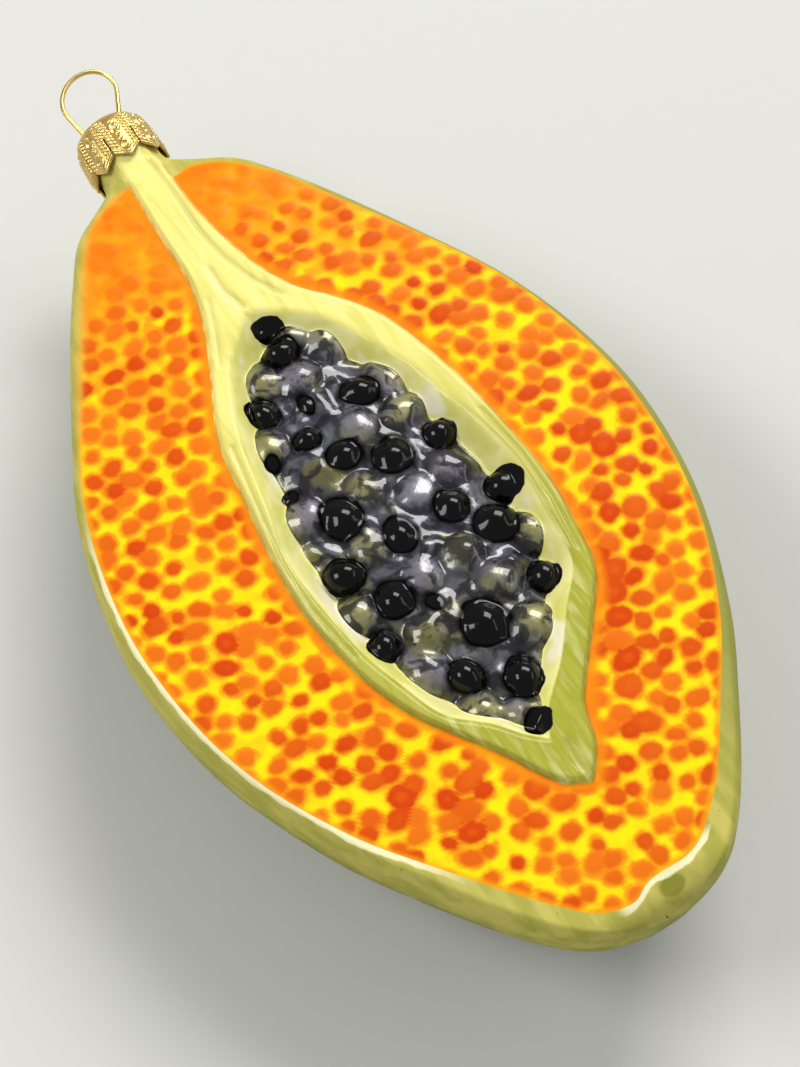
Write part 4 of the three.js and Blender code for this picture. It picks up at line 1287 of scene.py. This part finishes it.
def stamped_gold(settings, patina):
    """Gold-coloured tin: the beads take a brighter gold as painted highlight, and the ground between them
    keeps the darker tin.
    """
    material, nodes, shader, wear = new_metal("stamped_gold", patina, TIN["patina"])
    raised = nodes.ramp(nodes.mark("relief"), *TIN["raised"])
    ground = nodes.mix(wear["Cloud"], srgb(PAINTS["tin"]), srgb(PAINTS["light tin"]))
    # painted highlight: the raised beads take the brighter gold
    nodes.feed(shader.inputs["Base Color"], nodes.mix(raised, ground, tuple(settings.gold)))
    rough = nodes.level(raised, nodes.scale(wear["Scuff"], *TIN["roughness"]), TIN["bead_roughness"])
    nodes.feed(shader.inputs["Roughness"], rough)
    nodes.feed(shader.inputs["Normal"], nodes.bump(wear["Scuff"], TIN["scuff"], TIN["scuff_depth"]))
    return material


def drawn_wire(settings, patina):
    """Gold-coloured spring wire, smooth with a few dull stretches."""
    material, nodes, shader, wear = new_metal("drawn_wire", patina, WIRE["patina"])
    colour = nodes.mix(wear["Cloud"], tuple(settings.gold), srgb(PAINTS["dull wire"]))
    nodes.feed(shader.inputs["Base Color"], colour)
    nodes.feed(shader.inputs["Roughness"], nodes.scale(wear["Scuff"], *WIRE["roughness"]))
    nodes.feed(shader.inputs["Normal"], nodes.bump(wear["Cloud"], WIRE["cloud"], WIRE["cloud_depth"]))
    return material


def pale_card(settings):
    """Plain pale card under the ornament."""
    material, nodes, shader = new_material("pale_card")
    grain = nodes.noise(CARD["grain"], 3)
    darker = tuple(CARD["shade"] * c for c in settings.card)
    nodes.feed(shader.inputs["Base Color"], nodes.mix(grain, tuple(settings.card), darker))
    shader.inputs["Roughness"].default_value = CARD["roughness"]
    nodes.feed(shader.inputs["Normal"], nodes.bump(grain, CARD["bump"], CARD["depth"]))
    return material


def around(azimuth, elevation, distance):
    """A place round the view's centre, by azimuth and elevation in degrees; azimuth 0 is the -Y side."""
    a, e = math.radians(azimuth), math.radians(elevation)
    way = Vector((math.sin(a) * math.cos(e), -math.cos(a) * math.cos(e), math.sin(e)))
    return Vector(VIEW_CENTRE) + distance * way


def look_at_centre(item, place):
    """Puts a camera or a light at a place and points it at the view's centre."""
    item.location = place
    item.rotation_euler = (Vector(VIEW_CENTRE) - Vector(place)).to_track_quat("-Z", "Y").to_euler()
    bpy.context.scene.collection.objects.link(item)


def area_light(name, place, size, power, colour):
    """A soft rectangular light that points at the view's centre."""
    data = bpy.data.lights.new(name, "AREA")
    data.shape = "RECTANGLE"
    data.size, data.size_y = size
    data.energy = power
    data.color = colour
    look_at_centre(bpy.data.objects.new(name, data), place)


def add_camera(context, settings):
    """The camera at the photograph's angle."""
    data = bpy.data.cameras.new("camera")
    data.sensor_fit = "VERTICAL"
    data.sensor_height = SENSOR_HEIGHT
    data.lens = settings.lens
    data.clip_start = NEAR_LIMIT
    camera = bpy.data.objects.new("camera", data)
    look_at_centre(camera, around(settings.azimuth, settings.elevation, settings.distance))
    context.scene.camera = camera


def light_room(context, settings):
    """Even light from all round, and plain colours."""
    world = bpy.data.worlds.new("room")
    world.use_nodes = True
    background = world.node_tree.nodes["Background"]
    background.inputs["Color"].default_value = ROOM["colour"]
    background.inputs["Strength"].default_value = ROOM["strength"] * settings.strength
    context.scene.world = world
    context.scene.view_settings.view_transform = "Standard"


def colour_property(name, code, description):
    """A colour that a user can change."""
    return FloatVectorProperty(
        name=name, description=description, default=srgb(code), size=4, subtype="COLOR", min=0, max=1
    )


class GlassSettings(bpy.types.PropertyGroup):
    """Sizes and paints of the blown glass."""

    wall: FloatProperty(name="Wall", description="Thickness of the glass", default=MM, unit="LENGTH")
    dot_pitch: FloatProperty(
        name="Dot pitch", description="Distance between dots in a row", default=3.2 * MM, unit="LENGTH"
    )
    dot_size: FloatProperty(
        name="Dot size", description="Middle width of a dot", default=2.1 * MM, unit="LENGTH"
    )
    dot_rise: FloatProperty(
        name="Dot rise", description="Height of a dot over the flesh", default=0.1 * MM, unit="LENGTH"
    )
    seed: IntProperty(name="Seed", description="Start of the random draw for the dots", default=11)
    yellow: colour_property("Yellow", "FFEA14", "Bright net between the dots")
    amber: colour_property("Amber", "FFC018", "Deeper net between the dots")
    red: colour_property("Red", "D9480C", "Darkest dots and streaks")
    band: colour_property("Band", "FBF08A", "Stalk strip and the band's upper end")
    violet: colour_property("Violet", "3F3D49", "Silvering in the middle of the bed")
    seed_black: colour_property("Seeds", "050506", "Black seeds")


class MetalSettings(bpy.types.PropertyGroup):
    """Sizes and colour of the cap and the wire."""

    bead_rise: FloatProperty(
        name="Bead rise", description="Height of the stamped beads", default=0.19 * MM, unit="LENGTH"
    )
    wire: FloatProperty(name="Wire", description="Diameter of the wire", default=0.66 * MM, unit="LENGTH")
    # on the cap, this gold is the beads' painted highlight
    gold: colour_property("Gold", "F4D88E", "Gold colour of the raised beads and the wire")


class StageSettings(bpy.types.PropertyGroup):
    """Camera, lights and floor."""

    azimuth: FloatProperty(name="Azimuth", description="Camera's turn in degrees", default=-32.6)
    elevation: FloatProperty(name="Elevation", description="Camera's height in degrees", default=63)
    distance: FloatProperty(name="Distance", description="Camera's distance", default=0.2916, unit="LENGTH")
    lens: FloatProperty(name="Lens", description="Focal length in millimetres", default=80.97, unit="CAMERA")
    strength: FloatProperty(name="Light", description="Strength of all the lights", default=0.78, min=0)
    card: colour_property("Card", "DBDBD6", "Floor under the ornament")


class ORNAMENT_OT_glass(bpy.types.Operator):
    """Builds the hollow painted glass in place of its plain solid"""

    bl_idname = "ornament.glass"
    bl_label = "Painted glass"

    def execute(self, context):
        settings = context.scene.ornament_glass
        piece = build_glass(settings)
        piece.data.materials.append(painted_glass(settings))
        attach(piece, "root")
        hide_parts("glass_body")
        return {"FINISHED"}


class ORNAMENT_OT_crown(bpy.types.Operator):
    """Builds the stamped cap and the wire hanger in place of their plain solids"""

    bl_idname = "ornament.crown"
    bl_label = "Cap and hanger"

    def execute(self, context):
        settings = context.scene.ornament_metal
        patina = patina_group()
        for piece, node, slot, material in (
            (build_cap(settings), "cap", "gold_tin", stamped_gold(settings, patina)),
            (build_hanger(settings), "hanger", "gold_wire", drawn_wire(settings, patina)),
        ):
            piece.data.materials.append(material)
            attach(piece, "root")
            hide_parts(node)
        return {"FINISHED"}


class ORNAMENT_OT_stage(bpy.types.Operator):
    """Sets the camera, the soft lights and the pale floor"""

    bl_idname = "ornament.stage"
    bl_label = "Stage"

    def execute(self, context):
        settings = context.scene.ornament_stage
        add_camera(context, settings)
        bpy.ops.mesh.primitive_plane_add(size=FLOOR_SIZE, location=(0, 0, 0))
        floor = context.object
        floor.name = "floor"
        floor.data.materials.append(pale_card(settings))
        for name, azimuth, elevation, distance, size, power, colour in LIGHTS:
            area_light(name, around(azimuth, elevation, distance), size, power * settings.strength, colour)
        light_room(context, settings)
        return {"FINISHED"}


class ORNAMENT_PT_panel(bpy.types.Panel):
    """Lists the ornament's builders and their settings"""

    bl_idname = "ORNAMENT_PT_panel"
    bl_label = "Papaya ornament"
    bl_space_type = "VIEW_3D"
    bl_region_type = "UI"
    bl_category = "Ornament"

    def draw(self, context):
        """Lists the settings, then the builders."""
        for group in GROUPS:
            column = self.layout.column(heading=group)
            settings = getattr(context.scene, group)
            for name in settings.__annotations__:
                column.prop(settings, name)
        for builder in BUILDERS:
            self.layout.operator(builder.bl_idname)


BUILDERS = (ORNAMENT_OT_stage, ORNAMENT_OT_glass, ORNAMENT_OT_crown)
GROUPS = {
    "ornament_glass": GlassSettings,
    "ornament_metal": MetalSettings,
    "ornament_stage": StageSettings,
}
CLASSES = (*GROUPS.values(), *BUILDERS, ORNAMENT_PT_panel)


def register():
    """Makes the settings, the builders and the panel known to Blender."""
    for item in CLASSES:
        bpy.utils.register_class(item)
    for name, group in GROUPS.items():
        setattr(bpy.types.Scene, name, PointerProperty(type=group))


def unregister():
    """Takes them away again."""
    for name in GROUPS:
        delattr(bpy.types.Scene, name)
    for item in reversed(CLASSES):
        bpy.utils.unregister_class(item)


def main():
    """Builds the stage and every piece."""
    register()
    bpy.ops.ornament.stage()
    bpy.ops.ornament.glass()
    bpy.ops.ornament.crown()
    bpy.context.view_layer.update()


if __name__ == "__main__":
    main()
